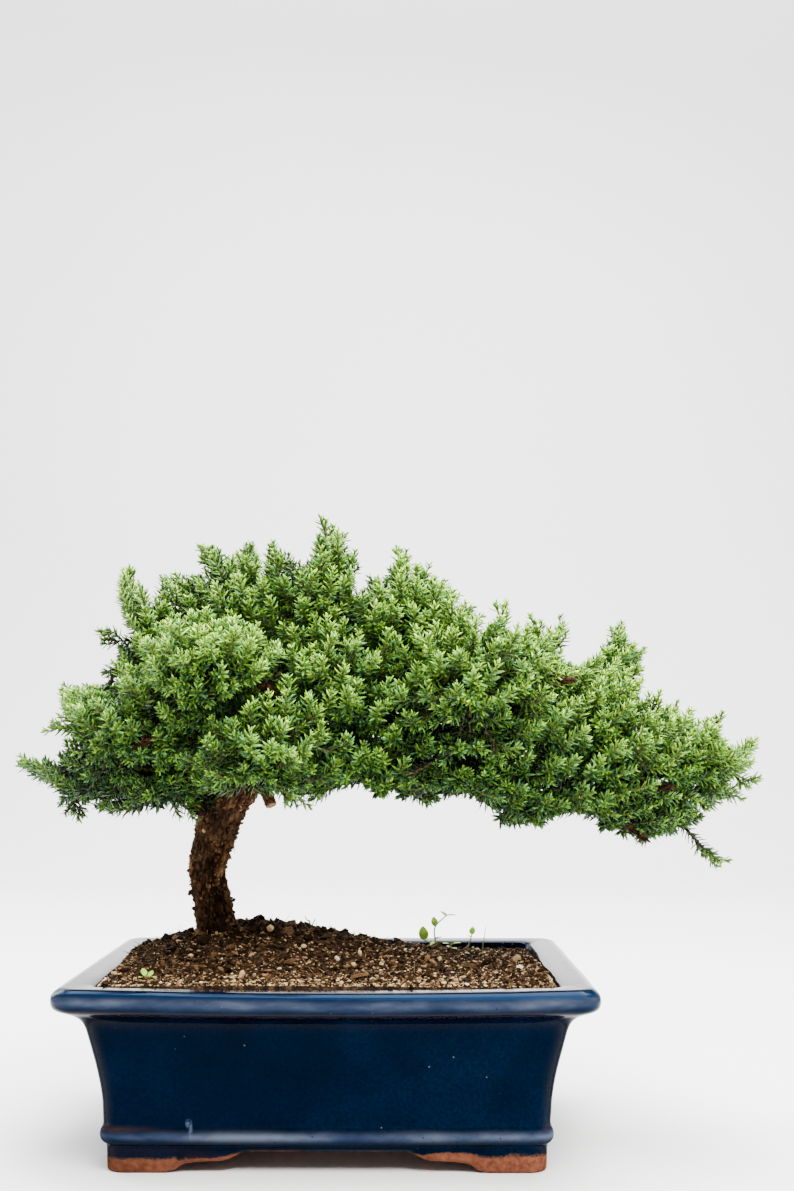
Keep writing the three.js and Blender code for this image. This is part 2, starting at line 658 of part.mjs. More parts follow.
// A seedling: its place, its stem's points over the soil, and its leaves as foot, tip and width.
const SEEDLINGS = [
  {
    name: 'seedling_tall',
    stem: [[38, 48, 56], [38, 48, 68], [40, 48, 74], [43, 47, 79]],
    leaves: [
      [[43, 47, 79], [49, 46, 80], 3.2], [[42, 47, 77], [37, 46, 79], 3],
      [[40, 48, 74], [34, 47, 75], 3.2], [[39, 48, 71], [44, 47, 72], 2.8],
    ],
  },
  {
    name: 'seedling_low',
    stem: [[54, 50, 56], [54, 50, 67], [55, 50, 71]],
    leaves: [
      [[55, 50, 71], [60, 49, 72], 2.8], [[55, 50, 70], [50, 49, 70.5], 2.8],
      [[54.5, 50, 68.8], [59, 52, 69.6], 2.4],
    ],
  },
  {
    name: 'seedling_front',
    stem: [[-74, -44, 57], [-74, -44, 68], [-73.5, -44, 70.5]],
    leaves: [
      [[-73.5, -44, 70.5], [-69.5, -44.5, 71.5], 2.8], [[-73.5, -44, 70.3], [-77.5, -44, 72], 2.6],
      [[-73.7, -44, 69.8], [-74.5, -48, 70.4], 2.6],
    ],
  },
];
const STEM_RADIUS = 0.55;
const DEAD_TWIG = {
  stem: [[-9, 10, 66], [-10, 9.6, 78], [-11, 9, 84.5]],
  forks: [[[-10.2, 9.5, 79], [-13.5, 9, 83]], [[-10.5, 9.3, 81.5], [-8.5, 8.6, 85]]],
  radii: [0.8, 0.45],
};

function seedlingSolid({ stem, leaves }, extra = 0) {
  const parts = [tube(curveThrough(stem), [STEM_RADIUS, STEM_RADIUS], 4, 2, extra)];
  for (const [foot, tip, width] of leaves) {
    parts.push(leafSolid(vector(foot), vector(tip), width));
  }
  return union(parts);
}

function stemRoom({ stem }) {
  return tube(curveThrough(stem), [STEM_RADIUS, STEM_RADIUS], 4, 2, GAP);
}

function deadTwigSolid(extra = 0) {
  const lines = [DEAD_TWIG.stem, ...DEAD_TWIG.forks];
  return union(lines.map((line) => tube(curveThrough(line), DEAD_TWIG.radii, 4, 1, extra)));
}

// ---- The whole bonsai --------------------------------------------------------------------

function bonsai() {
  const stretches = woodStretches();
  const sprays = layOutSprays(stretches);
  const twigs = sprays.map(({ root, base }) => ({
    curve: new THREE.LineCurve3(root, base), radii: TWIG_RADII, sides: TWIG_SIDES, steps: 1,
  }));
  const wood = (extra) => union([...stretches, ...twigs].map(
    ({ curve, radii, sides, steps }) => tube(curve, radii, sides, steps, extra)));
  const tree = largestBody(wood(0));
  const woodRoom = wood(1.2 * GAP);

  const woodLines = [...stretches, ...twigs].flatMap(
    ({ curve, radii }) => linesAlong(curve, 6, radii[0], radii.at(-1)));

  const shoots = layOutShoots(sprays);

  const meshes = [
    meshFrom('pot', potSolid(), COLOURS.glaze, 0.2),
    meshFrom('tree', tree, COLOURS.bark, 0.95),
  ];
  const cuts = [woodRoom, deadTwigSolid(GAP), ...SEEDLINGS.map(stemRoom)];
  [-POT.drainX, POT.drainX].forEach((x, i) => {
    meshes.push(meshFrom(`drain_screen_${i + 1}`, screenSolid(x), COLOURS.screen));
    cuts.push(screenRoom(x));
  });
  const soil = cuts.reduce((rest, cut) => rest.subtract(cut), soilSolid());
  meshes.push(meshFrom('soil', largestBody(soil), COLOURS.soil, 1));
  meshes.push(meshFrom('dead_twig', deadTwigSolid(), COLOURS.deadTwig));
  SEEDLINGS.forEach((seedling) => {
    meshes.push(meshFrom(seedling.name, seedlingSolid(seedling), COLOURS.seedling));
  });
  sprays.forEach((spray, index) => {
    const own = shoots.filter(({ owner }) => owner === spray);
    const colour = COLOURS.foliage[index % COLOURS.foliage.length];
    const name = `spray_${String(index + 1).padStart(2, '0')}`;
    meshes.push(meshFrom(name, spraySolid(spray, own, woodLines, woodRoom), colour));
  });
  return meshes;
}

const group = new THREE.Group();
group.add(...bonsai());
const middle = new THREE.Box3().setFromObject(group).getCenter(new THREE.Vector3());
group.position.set(-middle.x, -middle.y, 0);

export default group;
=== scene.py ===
"""A juniper bonsai in a blue glazed pot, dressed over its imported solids.

Shapes are worked out in millimetres in the pot frame: the origin lies on the floor under the middle of the
pot, x runs along its front, y to its back and z up. A mesh is moved to the row frame, in metres, when made.
"""
import math

import bpy
import numpy as np
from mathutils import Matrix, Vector, noise


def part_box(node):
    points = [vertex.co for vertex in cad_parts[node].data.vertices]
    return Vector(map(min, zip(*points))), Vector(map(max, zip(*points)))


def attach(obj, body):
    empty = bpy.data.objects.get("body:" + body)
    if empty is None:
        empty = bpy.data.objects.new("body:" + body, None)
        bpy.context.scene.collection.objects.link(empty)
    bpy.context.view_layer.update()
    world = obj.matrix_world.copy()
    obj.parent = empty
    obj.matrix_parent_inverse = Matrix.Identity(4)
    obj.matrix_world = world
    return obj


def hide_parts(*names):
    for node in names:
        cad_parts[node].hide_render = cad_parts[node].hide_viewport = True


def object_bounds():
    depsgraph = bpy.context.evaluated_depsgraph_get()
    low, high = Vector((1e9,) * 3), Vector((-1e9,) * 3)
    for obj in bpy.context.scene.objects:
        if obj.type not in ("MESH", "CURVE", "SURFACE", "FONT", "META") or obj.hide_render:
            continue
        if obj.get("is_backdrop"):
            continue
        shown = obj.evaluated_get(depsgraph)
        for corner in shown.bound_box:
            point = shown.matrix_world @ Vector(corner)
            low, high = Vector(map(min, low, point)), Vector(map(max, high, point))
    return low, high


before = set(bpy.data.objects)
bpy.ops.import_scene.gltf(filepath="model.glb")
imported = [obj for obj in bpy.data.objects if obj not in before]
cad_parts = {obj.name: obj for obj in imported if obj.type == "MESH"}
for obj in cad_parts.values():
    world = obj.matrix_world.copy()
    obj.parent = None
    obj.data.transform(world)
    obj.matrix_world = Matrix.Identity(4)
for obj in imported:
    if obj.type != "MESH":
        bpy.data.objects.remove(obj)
cad_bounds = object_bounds()

# ---- Driving dimensions --------------------------------------------------------------------------------

GAP = 0.3                                  # that neighbouring solids keep

POT_HALF = np.array([101.6, 76.2])         # over the rim, 8 by 6 inches
POT_CORNER = 7.0
POT_INNER_CORNER = 5.0
POT_FLOOR = 15.0
POT_UNDERSIDE = 7.7
FOOT_INSET = 19.0
FOOT_WIDTH = 14.0
DRAIN_RADIUS = 8.0
DRAIN_X = 42.0                             # of the drain holes, one on each side of the middle
# How far the wall lies in from the rim's outer edge, and at what height, from the foot up to the lip.
POT_OUTSIDE = [
    (18.6, 8.6), (18.2, 10.0), (17.0, 11.0), (16.2, 13.0), (16.4, 15.2), (17.4, 16.8), (17.1, 21.0),
    (16.8, 26.0), (15.9, 32.0), (14.7, 38.0), (13.2, 44.5), (12.0, 49.5), (11.1, 53.0), (9.9, 55.7),
    (8.1, 57.6), (5.9, 59.0), (3.6, 60.0), (1.5, 61.0), (0.3, 62.6), (0.0, 65.2), (0.7, 67.4), (2.6, 68.9),
]
# The same over the rim's top and down the inside to the floor.
POT_INSIDE = [
    (4.4, 69.3), (12.6, 69.0), (13.9, 67.8), (15.0, 65.0), (18.5, 57.0), (21.0, 40.0), (25.0, 16.5),
    (27.0, 15.0),
]
# The drip low on the front wall: the middle and the reach of its two blots.
DRIP = [((-51.1, -59, 18.2), (1.7, 9, 2.3)), ((-50.3, -59, 15), (1.0, 9, 3.4))]
# Half of the bracket outline cut under the pot: the distance from the foot's side and the height.
BRACKET = np.array([
    (22.0, 0.0), (26.5, 1.1), (29.0, 3.2), (36.0, 4.0), (44.0, 4.2), (48.5, 5.8), (51.0, 7.7),
])
SIDE_BRACKET_SCALE = 0.69                  # the brackets are shorter on the pot's sides

SOIL_EDGE = 66.3                           # the soil's height at the wall
SOIL_MOUND = 14.0                          # the mound's height over it
SOIL_MOUND_AT = (-38.0, 16.0)
SOIL_MOUND_LEFT, SOIL_MOUND_RIGHT, SOIL_MOUND_DEPTH = 42.0, 62.0, 42.0

# The middle of the plain trunk, from its root in the soil to where the last limbs part.
TRUNK_POINTS = [
    (-50, 17, 42), (-49.5, 15.5, 66), (-50, 14, 78), (-52.3, 11.5, 93), (-53.2, 9, 105), (-51.4, 7, 117),
    (-47, 5, 129), (-41, 3, 142), (-32, 1, 156), (-21, 1, 168), (-8, 4, 178),
]
# How far the bark's surface lies from the plain trunk's middle at each of its points, and its radius there.
BARK_SHIFT = [0, 0, -0.4, -1.0, -1.4, -1.3, -1.8, -1.5, -0.6, 0, 0]
BARK_RADII = [9, 9.6, 8.8, 7.4, 7.5, 8.0, 9.0, 9.8, 8.2, 7, 5.6]
# Each limb: its points from its root to its tip, and the radius at both ends.
LIMBS = [
    ([(-43, 3, 142), (-62, -4, 149), (-84, -4, 148), (-104, 0, 147)], (4, 1.6)),
    ([(-36, 1, 152), (-50, -22, 160), (-72, -32, 166)], (3.6, 1.7)),
    ([(-33, 1, 156), (-54, 28, 170), (-86, 40, 174)], (3.2, 1.6)),
    ([(-21, 1, 168), (-40, 0, 188), (-66, 6, 206)], (3.6, 1.8)),
    ([(-21, 1, 168), (-30, 10, 190), (-40, 14, 214)], (3.6, 1.8)),
    ([(-8, 4, 178), (-8, 6, 200), (-6, 2, 222)], (3.6, 1.7)),
    ([(-18, 2, 170), (-30, -24, 184), (-44, -42, 190)], (3, 1.7)),
    ([(-35, 1, 154), (-32, -24, 154), (-29, -46, 158)], (3, 1.7)),
    ([(-21, 1, 168), (-32, 26, 184), (-52, 46, 196)], (3, 1.7)),
    ([(-8, 4, 178), (20, 4, 184), (50, 0, 180), (80, -4, 169), (108, -6, 156), (134, -3, 147), (152, 0, 152)],
     (5.2, 1.6)),
    ([(-6, 4, 178), (2, 26, 188), (12, 46, 196)], (2.8, 1.7)),
    ([(14, 4, 183), (24, 4, 198), (30, 1, 212)], (3, 1.7)),
    ([(34, 2, 182), (48, -16, 184), (61, -30, 187)], (3, 1.7)),
    ([(40, 2, 182), (58, 28, 184), (74, 44, 184)], (2.8, 1.7)),
    ([(62, -2, 176), (66, -8, 162), (70, -14, 146), (84, -18, 134)], (2.8, 1.7)),
    ([(24, 4, 183), (24, 0, 170), (24, -4, 156)], (2.4, 1.6)),
    ([(92, -5, 164), (118, 20, 162), (138, 36, 160)], (2.6, 1.6)),
    ([(108, 10, 163), (122, 34, 174), (128, 48, 186)], (2.2, 1.5)),
    ([(118, -5, 152), (128, 0, 138), (136, 5, 130), (150, 8, 126)], (2.4, 1.6)),
]
STUB = ([(-36, -3, 146), (-29, -10, 140), (-26, -13, 134)], (2.8, 2.2))
TWIG_RADIUS = 1.7
# Short dead ends of wood that show through the foliage's lower edge and front.
SNAGS = [
    [(77, -16, 136), (82, -21, 129), (86, -23, 127)], [(120, -14, 129), (125, -17, 122.5), (128.5, -18, 120)],
    [(126, -18, 143), (133, -26, 141), (138, -28, 142.5)], [(88, -36, 187), (93, -40, 184), (97, -40, 184.5)],
    [(-78, -40, 158), (-73, -44, 159.5), (-69, -45, 162)], [(40, -12, 150), (46, -16, 146), (50, -17, 146)],
]

# Foliage pads: the middle, the reach along x, y and z, and how many sprays fill the pad.
PADS = [
    ((-104, 5, 144), (29, 22, 15), 2), ((-86, -28, 167), (27, 22, 15), 2), ((-80, 10, 204), (21, 24, 25), 2),
    ((-42, 15, 222), (23, 26, 25), 2), ((-6, 0, 223), (18, 20, 26), 1), ((-51, -50, 192), (24, 18, 17), 1),
    ((-27, -54, 153), (22, 16, 18), 1), ((-72, -8, 143), (22, 20, 13), 1), ((0, -14, 154), (20, 18, 14), 1),
    ((-48, -22, 176), (16, 16, 12), 1), ((5, -22, 184), (21, 24, 22), 1), ((31, 0, 214), (23, 25, 25), 2),
    ((64, -35, 188), (26, 22, 26), 2), ((40, -14, 168), (16, 16, 11), 1), ((60, -10, 150), (27, 22, 14), 2),
    ((88, -14, 139), (24, 18, 14), 1), ((98, -16, 165), (22, 20, 14), 1), ((124, -10, 163), (24, 22, 19), 2),
    ((129, 52, 194), (12, 12, 16), 1), ((159, 0, 151), (19, 20, 17), 2), ((139, 8, 129), (24, 16, 12), 2),
    ((-62, 50, 198), (26, 20, 20), 2), ((-10, 56, 196), (24, 20, 22), 1), ((36, 54, 200), (24, 20, 20), 1),
    ((80, 48, 184), (26, 20, 17), 2), ((-104, 38, 172), (22, 18, 13), 1), ((28, -6, 146), (20, 18, 12), 1),
    ((90, 8, 193), (20, 18, 16), 1), ((140, 38, 158), (20, 16, 13), 1),
]
# Single leading shoots that reach out of the pads.
LEADERS = [
    (-5, 0, 256), (-133, 2, 152), (-94, 8, 235), (179, 0, 158), (164, 6, 109), (131, 58, 215), (27, 0, 243),
    (-28, 14, 246), (-60, 16, 246), (-41, 14, 247), (70, -24, 216), (-126, 34, 184), (-75, 10, 232),
    (1, 2, 250), (8, 4, 238), (17, 0, 228), (60, 4, 215), (86, 4, 212), (98, 6, 211), (107, 6, 187),
    (139, 54, 203), (147, 4, 174), (163, 0, 171), (177, 0, 144), (-12, -40, 137), (-99, 10, 189),
    (90, -24, 150), (106, -20, 146), (108, -8, 135), (142, -14, 144), (160, -4, 137), (134, 10, 120),
    (69, -12, 136), (38, -12, 146), (40, -6, 136), (20, -8, 141), (5, -16, 144), (131, 32, 181), (60, 2, 205),
    (38, 2, 234), (47, 4, 225), (-17, 8, 234), (-47, 14, 238), (-66, 6, 217), (-106, 28, 184),
    (-112, -4, 160),
]
LEADER_SPACING = 27.4                      # between the tips that the solids have too
SHORTEST_LEADER = 9.0                      # from its spray's hub to its tip
LEADING_SHOOT = 15.0                       # past the hub, in a spray that has no leader of its own
SPRAY_OUT = 0.45                           # how far out in its pad a spray lies, where a pad has several
SPRAY_AXIS = 12.0                          # length of the stem at a spray's foot, which its shoots grow from
SPRAY_AXIS_RADIUS = 1.5
FORK = 0.9                                 # how far before its tip, to its distance aside, a shoot forks off
LAYOUT_SEED = 21

# Fitted to the four corners of the rim: the place in millimetres, the turn in radians and the lens.
CAMERA_AT = (24.97, -588.9, 153.15)
CAMERA_TURN = (math.pi / 2 + 0.1183, -0.0017, -0.002)
CAMERA_LENS = 41.47

# ---- Small helpers -------------------------------------------------------------------------------------

pot_low, pot_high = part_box("pot")
POT_MIDDLE = 500 * (np.array(pot_low) + np.array(pot_high)) * (1, 1, 0)
WORD = 0xFFFFFFFF                          # the largest whole number of 32 bits
FULL_TURN = 2 * math.pi
ASKEW = np.array((0.31, 0.22, 0.92))       # no limb or shoot runs along it
SEAM_SIDE = (0.31, 0.92, 0.22)             # square to this the first side of each tube starts


def random_from(seed):
    """The seeded source of numbers from 0 to 1 that the solids use."""
    state = seed

    def draw():
        nonlocal state
        state = (state + 0x6D2B79F5) & WORD
        mix = ((state ^ (state >> 15)) * (1 | state)) & WORD
        mix = ((mix + (((mix ^ (mix >> 7)) * (61 | mix)) & WORD)) & WORD) ^ mix
        return (mix ^ (mix >> 14)) / (WORD + 1)

    return draw


def lengths(vectors):
    return np.linalg.norm(vectors, axis=-1)


def unit(vectors):
    return vectors / np.maximum(np.linalg.norm(vectors, axis=-1, keepdims=True), 1e-9)


def across(ahead):
    """Two directions square to each one given."""
    side = unit(np.cross(ahead, ASKEW))
    return side, np.cross(ahead, side)


def around(ahead, angle):
    """The direction square to each one given, at an angle round it."""
    side, up = across(ahead)
    return side * np.cos(angle)[..., None] + up * np.sin(angle)[..., None]


def leaned(ahead, out, angle):
    """Each direction ahead, leaned out by an angle."""
    return ahead * np.cos(angle)[:, None] + out * np.sin(angle)[:, None]


def square_part(vectors, ways):
    """What is left of each vector without its share along its way."""
    return vectors - ways * (vectors * ways).sum(1)[:, None]


def smooth_step(low, high, value):
    share = np.clip((value - low) / (high - low), 0, 1)
    return share * share * (3 - 2 * share)


def band(heights, middle, width):
    """1 at the middle height, falling off softly over the width to both sides."""
    return np.exp(-((heights - middle) / width) ** 2)


def fractal(points, size, octaves=4, seed=0.0):
    """Smooth noise from about -1 to 1 at each point, with lumps of about `size`."""
    offset = Vector((seed, 1.7 * seed, -seed))
    return np.array([
        noise.fractal(Vector(p) / size + offset, 0.8, 2.1, octaves) for p in points.tolist()
    ])


def curve_points(points, shares):
    """Points of a smooth curve through `points`, at shares from 0 to 1 of all its spans."""
    points = np.asarray(points, float)
    ends = np.vstack([2 * points[0] - points[1], points, 2 * points[-1] - points[-2]])
    place = np.clip(shares, 0, 1) * (len(points) - 1)
    span = np.minimum(place.astype(int), len(points) - 2)
    t = (place - span)[:, None]
    p0, p1, p2, p3 = (ends[span + i] for i in range(4))
    chords = (p1 - p0, p2 - p1, p3 - p2)
    d0, d1, d2 = (np.linalg.norm(chord, axis=1, keepdims=True) ** 0.5 for chord in chords)
    start = ((p1 - p0) / d0 - (p2 - p0) / (d0 + d1) + (p2 - p1) / d1) * d1
    end = ((p2 - p1) / d1 - (p3 - p1) / (d1 + d2) + (p3 - p2) / d2) * d1
    square = 3 * (p2 - p1) - 2 * start - end
    cube = 2 * (p1 - p2) + start + end
    return p1 + start * t + square * t ** 2 + cube * t ** 3


class Shape:
    """Points and faces gathered for one piece, with a value for each point under each attribute's name."""

    def __init__(self, *attributes):
        self.points, self.faces, self.looks, self.smooth, self.uvs = [], [], [], [], []
        self.values = {name: [] for name in attributes}
        self.count = 0

    def add(self, points, *faces, look=0, smooth=True, uvs=None, **values):
        """Faces come as arrays of rows of the same length, which count from the first point added here."""
        points = np.asarray(points, float).reshape(-1, 3)
        for rows in faces:
            self.faces.append(np.asarray(rows, np.int32) + self.count)
            self.looks.append(np.full(len(rows), look, np.int32))
            self.smooth.append(np.full(len(rows), smooth))
        if uvs is not None:
            self.uvs += [np.asarray(rows, np.float32).reshape(-1, 2) for rows in uvs]
        for name, gathered in self.values.items():
            gathered.append(np.broadcast_to(np.asarray(values.get(name, 0.0), np.float32), len(points)))
        self.points.append(points)
        self.count += len(points)

    def piece(self, name, materials, replaced=()):
        """Makes the mesh, lets it ride on the root and stand for the replaced nodes."""
        points = (np.vstack(self.points) + POT_MIDDLE) / 1000
        sizes = np.concatenate([np.full(len(rows), rows.shape[1]) for rows in self.faces])
        corners = np.concatenate([rows.ravel() for rows in self.faces])
        mesh = bpy.data.meshes.new(name)
        mesh.vertices.add(len(points))
        mesh.vertices.foreach_set("co", points.astype(np.float32).ravel())
        mesh.loops.add(len(corners))
        mesh.loops.foreach_set("vertex_index", corners.astype(np.int32))
        mesh.polygons.add(len(sizes))
        mesh.polygons.foreach_set("loop_start", (np.cumsum(sizes) - sizes).astype(np.int32))
        mesh.polygons.foreach_set("material_index", np.concatenate(self.looks))
        mesh.polygons.foreach_set("use_smooth", np.concatenate(self.smooth))
        for attribute, gathered in self.values.items():
            layer = mesh.attributes.new(attribute, "FLOAT", "POINT")
            layer.data.foreach_set("value", np.concatenate(gathered).astype(np.float32))
        if self.uvs:
            layer = mesh.uv_layers.new(name="OFBake")
            layer.data.foreach_set("uv", np.vstack(self.uvs).ravel())
        mesh.update(calc_edges=True)
        for material in materials:
            mesh.materials.append(material)
        obj = bpy.data.objects.new(name, mesh)
        bpy.context.scene.collection.objects.link(obj)
        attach(obj, "root")
        if replaced:
            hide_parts(*replaced)
        return obj


def ring_faces(rings, sides):
    """Four-cornered faces between neighbouring rings of a tube, turned outwards."""
    ring, side = np.meshgrid(np.arange(rings - 1), np.arange(sides), indexing="ij")
    a = (ring * sides + side).ravel()
    b = (ring * sides + (side + 1) % sides).ravel()
    return np.stack([a, b, b + sides, a + sides], 1)


def tube(path, radii, sides):
    """A closed tube along a path: its points by ring and side, its normals and its faces."""
    path = np.asarray(path, float)
    ahead = unit(np.gradient(path, axis=0))
    side = np.zeros_like(path)
    last = unit(np.cross(ahead[0], SEAM_SIDE))
    for i, direction in enumerate(ahead):
        last = unit(last - direction * (last @ direction))
        side[i] = last
    up = np.cross(ahead, side)
    angle = np.arange(sides) * (FULL_TURN / sides)
    normals = side[:, None] * np.cos(angle)[:, None] + up[:, None] * np.sin(angle)[:, None]
    points = path[:, None] + normals * np.broadcast_to(radii, len(path))[:, None, None]
    ends = [np.arange(sides)[::-1], np.arange(sides) + (len(path) - 1) * sides]
    return points, normals, [ring_faces(len(path), sides), np.array(ends)]


# ---- Materials -----------------------------------------------------------------------------------------


class Look:
    """A material built from nodes: each method adds one and gives back its output."""

    def __init__(self, name, **settings):
        self.material = bpy.data.materials.new(name)
        self.material.use_nodes = True
        self.tree = self.material.node_tree
        self.surface = self.tree.nodes["Principled BSDF"]
        for socket, value in settings.items():
            self.surface.inputs[socket.replace("_", " ")].default_value = value

    def feed(self, socket, value):
        """Links another node's output to the socket, or sets the socket to a plain value."""
        if isinstance(value, bpy.types.NodeSocket):
            self.tree.links.new(value, socket)
        else:
            socket.default_value = value

    def node(self, kind, **inputs):
        made = self.tree.nodes.new("ShaderNode" + kind)
        for name, value in inputs.items():
            self.feed(made.inputs[name], value)
        return made

    def attribute(self, name):
        made = self.node("Attribute")
        made.attribute_name = name
        return made.outputs["Fac"]

    def place(self, stretch=(1, 1, 1), shift=(0, 0, 0)):
        """The place on the object, in metres, stretched along its axes and then shifted."""
        made = self.node("Mapping", Vector=self.node("TexCoord").outputs["Object"])
        made.inputs["Scale"].default_value = stretch
        made.inputs["Location"].default_value = shift
        return made.outputs["Vector"]

    def noise(self, size_mm, detail=4.0, roughness=0.55, stretch=(1, 1, 1)):
        return self.node(
            "TexNoise", Vector=self.place(stretch), Scale=1000 / size_mm, Detail=detail, Roughness=roughness,
        ).outputs["Fac"]

    def spots(self, size_mm):
        """The distance from the nearest of many scattered points."""
        return self.node("TexVoronoi", Vector=self.place(), Scale=1000 / size_mm).outputs["Distance"]

    def facing(self):
        """0 where the surface faces the eye, 1 where it turns away."""
        return self.node("LayerWeight").outputs["Facing"]

    def blot(self, at, reach):
        """1 at a place in the pot frame, falling to 0 at its reach along x, y and z."""
        scale = 1000 / np.array(reach)
        shift = -scale * (np.array(at) + POT_MIDDLE) / 1000
        gradient = self.node("TexGradient", Vector=self.place(scale, shift))
        gradient.gradient_type = "SPHERICAL"
        return gradient.outputs["Fac"]

    def ramp(self, value, *stops):
        """Turns a value into colours, or into greys where a stop gives a number."""
        made = self.node("ValToRGB", Fac=value)
        elements = made.color_ramp.elements
        for _ in stops[2:]:
            elements.new(0.5)
        for element, (position, _) in zip(elements, stops):
            element.position = position
        for element, (_, colour) in zip(elements, stops):
            element.color = (*(colour if isinstance(colour, tuple) else (colour,) * 3), 1)
        return made.outputs["Color"]

    def mix(self, factor, a, b, mode="MIX"):
        """Mixes two colours. A Mix node has its colour sockets after those for numbers and vectors."""
        made = self.node("Mix")
        made.data_type = "RGBA"
        made.blend_type = mode
        self.feed(made.inputs[0], factor)
        for index, colour in ((6, a), (7, b)):
            self.feed(made.inputs[index], (*colour, 1) if isinstance(colour, tuple) else colour)
        return made.outputs[2]

    def times(self, a, b):
        return self.mix(1.0, a, b, "MULTIPLY")

    def maths(self, operation, a, b):
        made = self.node("Math")
        made.operation = operation
        self.feed(made.inputs[0], a)
        self.feed(made.inputs[1], b)
        return made.outputs[0]

    def drive(self, socket, value):
        self.tree.links.new(value, self.surface.inputs[socket])

    def bump(self, height, distance_mm, strength=1.0):
        made = self.node("Bump", Height=height, Distance=distance_mm / 1000, Strength=strength)
        self.drive("Normal", made.outputs["Normal"])


def glaze_colour(look):
    """Cobalt, mottled and with painted light: lighter to the right and lower down, darker to the left and
    higher up. A painted grey-blue sheen on the lip and the moulding stands in for their reflections. With a
    drip and small flaws.
    """
    # mottle with painted light: lighter to the right and lower down, darker to the left and higher up
    mottled_glaze_with_light = look.ramp(
        look.attribute("mottle_and_painted_light"), (0.0, (0.0, 0.0006, 0.0030)), (0.5, (0.0, 0.0015, 0.0064)),
        (1.0, (0.0002, 0.0036, 0.0130)))
    body = look.times(mottled_glaze_with_light, look.ramp(look.noise(1.1, 3), (0.35, 0.55), (0.7, 1.5)))
    streak = look.noise(20, 5, stretch=(0.5, 0.5, 1.6))
    # painted sheen: grey-blue that stands in for the bright surroundings reflected on the lip and the
    # moulding
    painted_sheen = look.ramp(
        streak, (0.36, (0.004, 0.009, 0.025)), (0.5, (0.024, 0.033, 0.060)), (0.64, (0.072, 0.086, 0.120)))
    glaze = look.mix(look.attribute("painted_sheen"), body, painted_sheen)
    glaze = look.mix(look.attribute("strip"), glaze, (0.0007, 0.008, 0.027))
    glaze = look.mix(look.attribute("ridge"), glaze, (0.060, 0.030, 0.020))
    drip = look.maths("ADD", *(look.blot(at, reach) for at, reach in DRIP))
    drip = look.maths("MULTIPLY", drip, look.ramp(look.noise(1.5, 3), (0.35, 0.3), (0.6, 1.3)))
    glaze = look.mix(look.ramp(drip, (0.05, 0.0), (0.8, 0.7)), glaze, (0.055, 0.075, 0.120))
    pinhole = look.ramp(look.spots(4.2), (0.05, 0.8), (0.09, 0.0))
    glaze = look.mix(pinhole, glaze, (0.004, 0.005, 0.008))
    speck = look.ramp(look.spots(8.5), (0.02, 1.0), (0.05, 0.0))
    return look.mix(look.maths("MULTIPLY", speck, 0.3), glaze, (0.20, 0.25, 0.30))


def glaze_look():
    """Glaze that ends in a burnt edge over bare clay at the feet."""
    look = Look("cobalt_glaze", Roughness=0.16, Specular_IOR_Level=0.12)
    look.surface.inputs["Specular Tint"].default_value = (0.0, 0.12, 0.36, 1)
    glaze = glaze_colour(look)
    clay = look.ramp(look.noise(2.2, 5), (0.3, (0.085, 0.024, 0.010)), (0.7, (0.185, 0.062, 0.030)))
    # the bare clay gets the same painted light: lighter to the right and lower down
    clay_mottle_and_light = look.ramp(look.attribute("mottle_and_painted_light"), (0.3, (0.6, 0.62, 0.6)), (0.9, (1.12, 1.15, 1.3)))
    clay = look.times(clay, clay_mottle_and_light)
    burnt = look.ramp(look.noise(1.2, 3), (0.4, (0.012, 0.008, 0.008)), (0.6, (0.060, 0.030, 0.014)))
    uneven = look.maths("MULTIPLY", look.maths("SUBTRACT", look.noise(3.4, 4), 0.5), 0.22)
    bare = look.maths("ADD", look.attribute("bare"), uneven)
    colour = look.mix(look.ramp(bare, (0.40, 0.0), (0.47, 1.0)), glaze, burnt)
    look.drive("Base Color", look.mix(look.ramp(bare, (0.50, 0.0), (0.56, 1.0)), colour, clay))
    look.drive("Roughness", look.ramp(bare, (0.42, 0.14), (0.55, 0.85)))
    turned_wall = look.maths("MULTIPLY", look.facing(), look.attribute("wall"))
    look.drive("Specular IOR Level", look.ramp(turned_wall, (0.1, 0.13), (0.55, 0.005)))
    waves = look.noise(9, 2)
    pits = look.ramp(look.spots(5), (0.015, 0.0), (0.045, 1.0))
    grain = look.maths("MULTIPLY", look.noise(0.7, 3), look.ramp(bare, (0.45, 0.0), (0.6, 0.6)))
    height = look.maths("ADD", look.maths("ADD", waves, look.maths("MULTIPLY", pits, 0.5)), grain)
    look.bump(height, 0.22, 0.5)
    return look.material


def bark_look():
    """Flaking dark bark: black in its cracks, brown on its plates, with tan fibrous strips."""
    look = Look("flaking_bark", Roughness=0.9, Specular_IOR_Level=0.06)
    relief = look.attribute("relief")
    plate = look.attribute("plate")
    grain = look.noise(0.9, 5, 0.65, stretch=(1.8, 1.8, 0.35))
    brown = look.ramp(
        plate, (0.15, (0.030, 0.015, 0.007)), (0.45, (0.084, 0.043, 0.020)),
        (0.7, (0.140, 0.082, 0.042)), (0.95, (0.280, 0.185, 0.108)))
    crack = look.ramp(relief, (0.2, (0.10, 0.06, 0.03)), (0.5, (0.75, 0.66, 0.56)), (0.9, (1.4, 1.3, 1.15)))
    strip = look.ramp(look.noise(3.4, 3, stretch=(1.5, 1.5, 0.22)), (0.57, 0.0), (0.66, 0.7))
    brown = look.mix(strip, brown, (0.26, 0.165, 0.095))
    soot = look.ramp(look.noise(9, 3, stretch=(1, 1, 0.5)), (0.42, 0.4), (0.58, 1.2))
    brown = look.times(brown, soot)
    colour = look.times(brown, crack)
    colour = look.times(colour, look.ramp(grain, (0.3, 0.42), (0.7, 1.55)))
    look.drive("Base Color", colour)
    look.bump(grain, 0.35, 0.8)
    return look.material


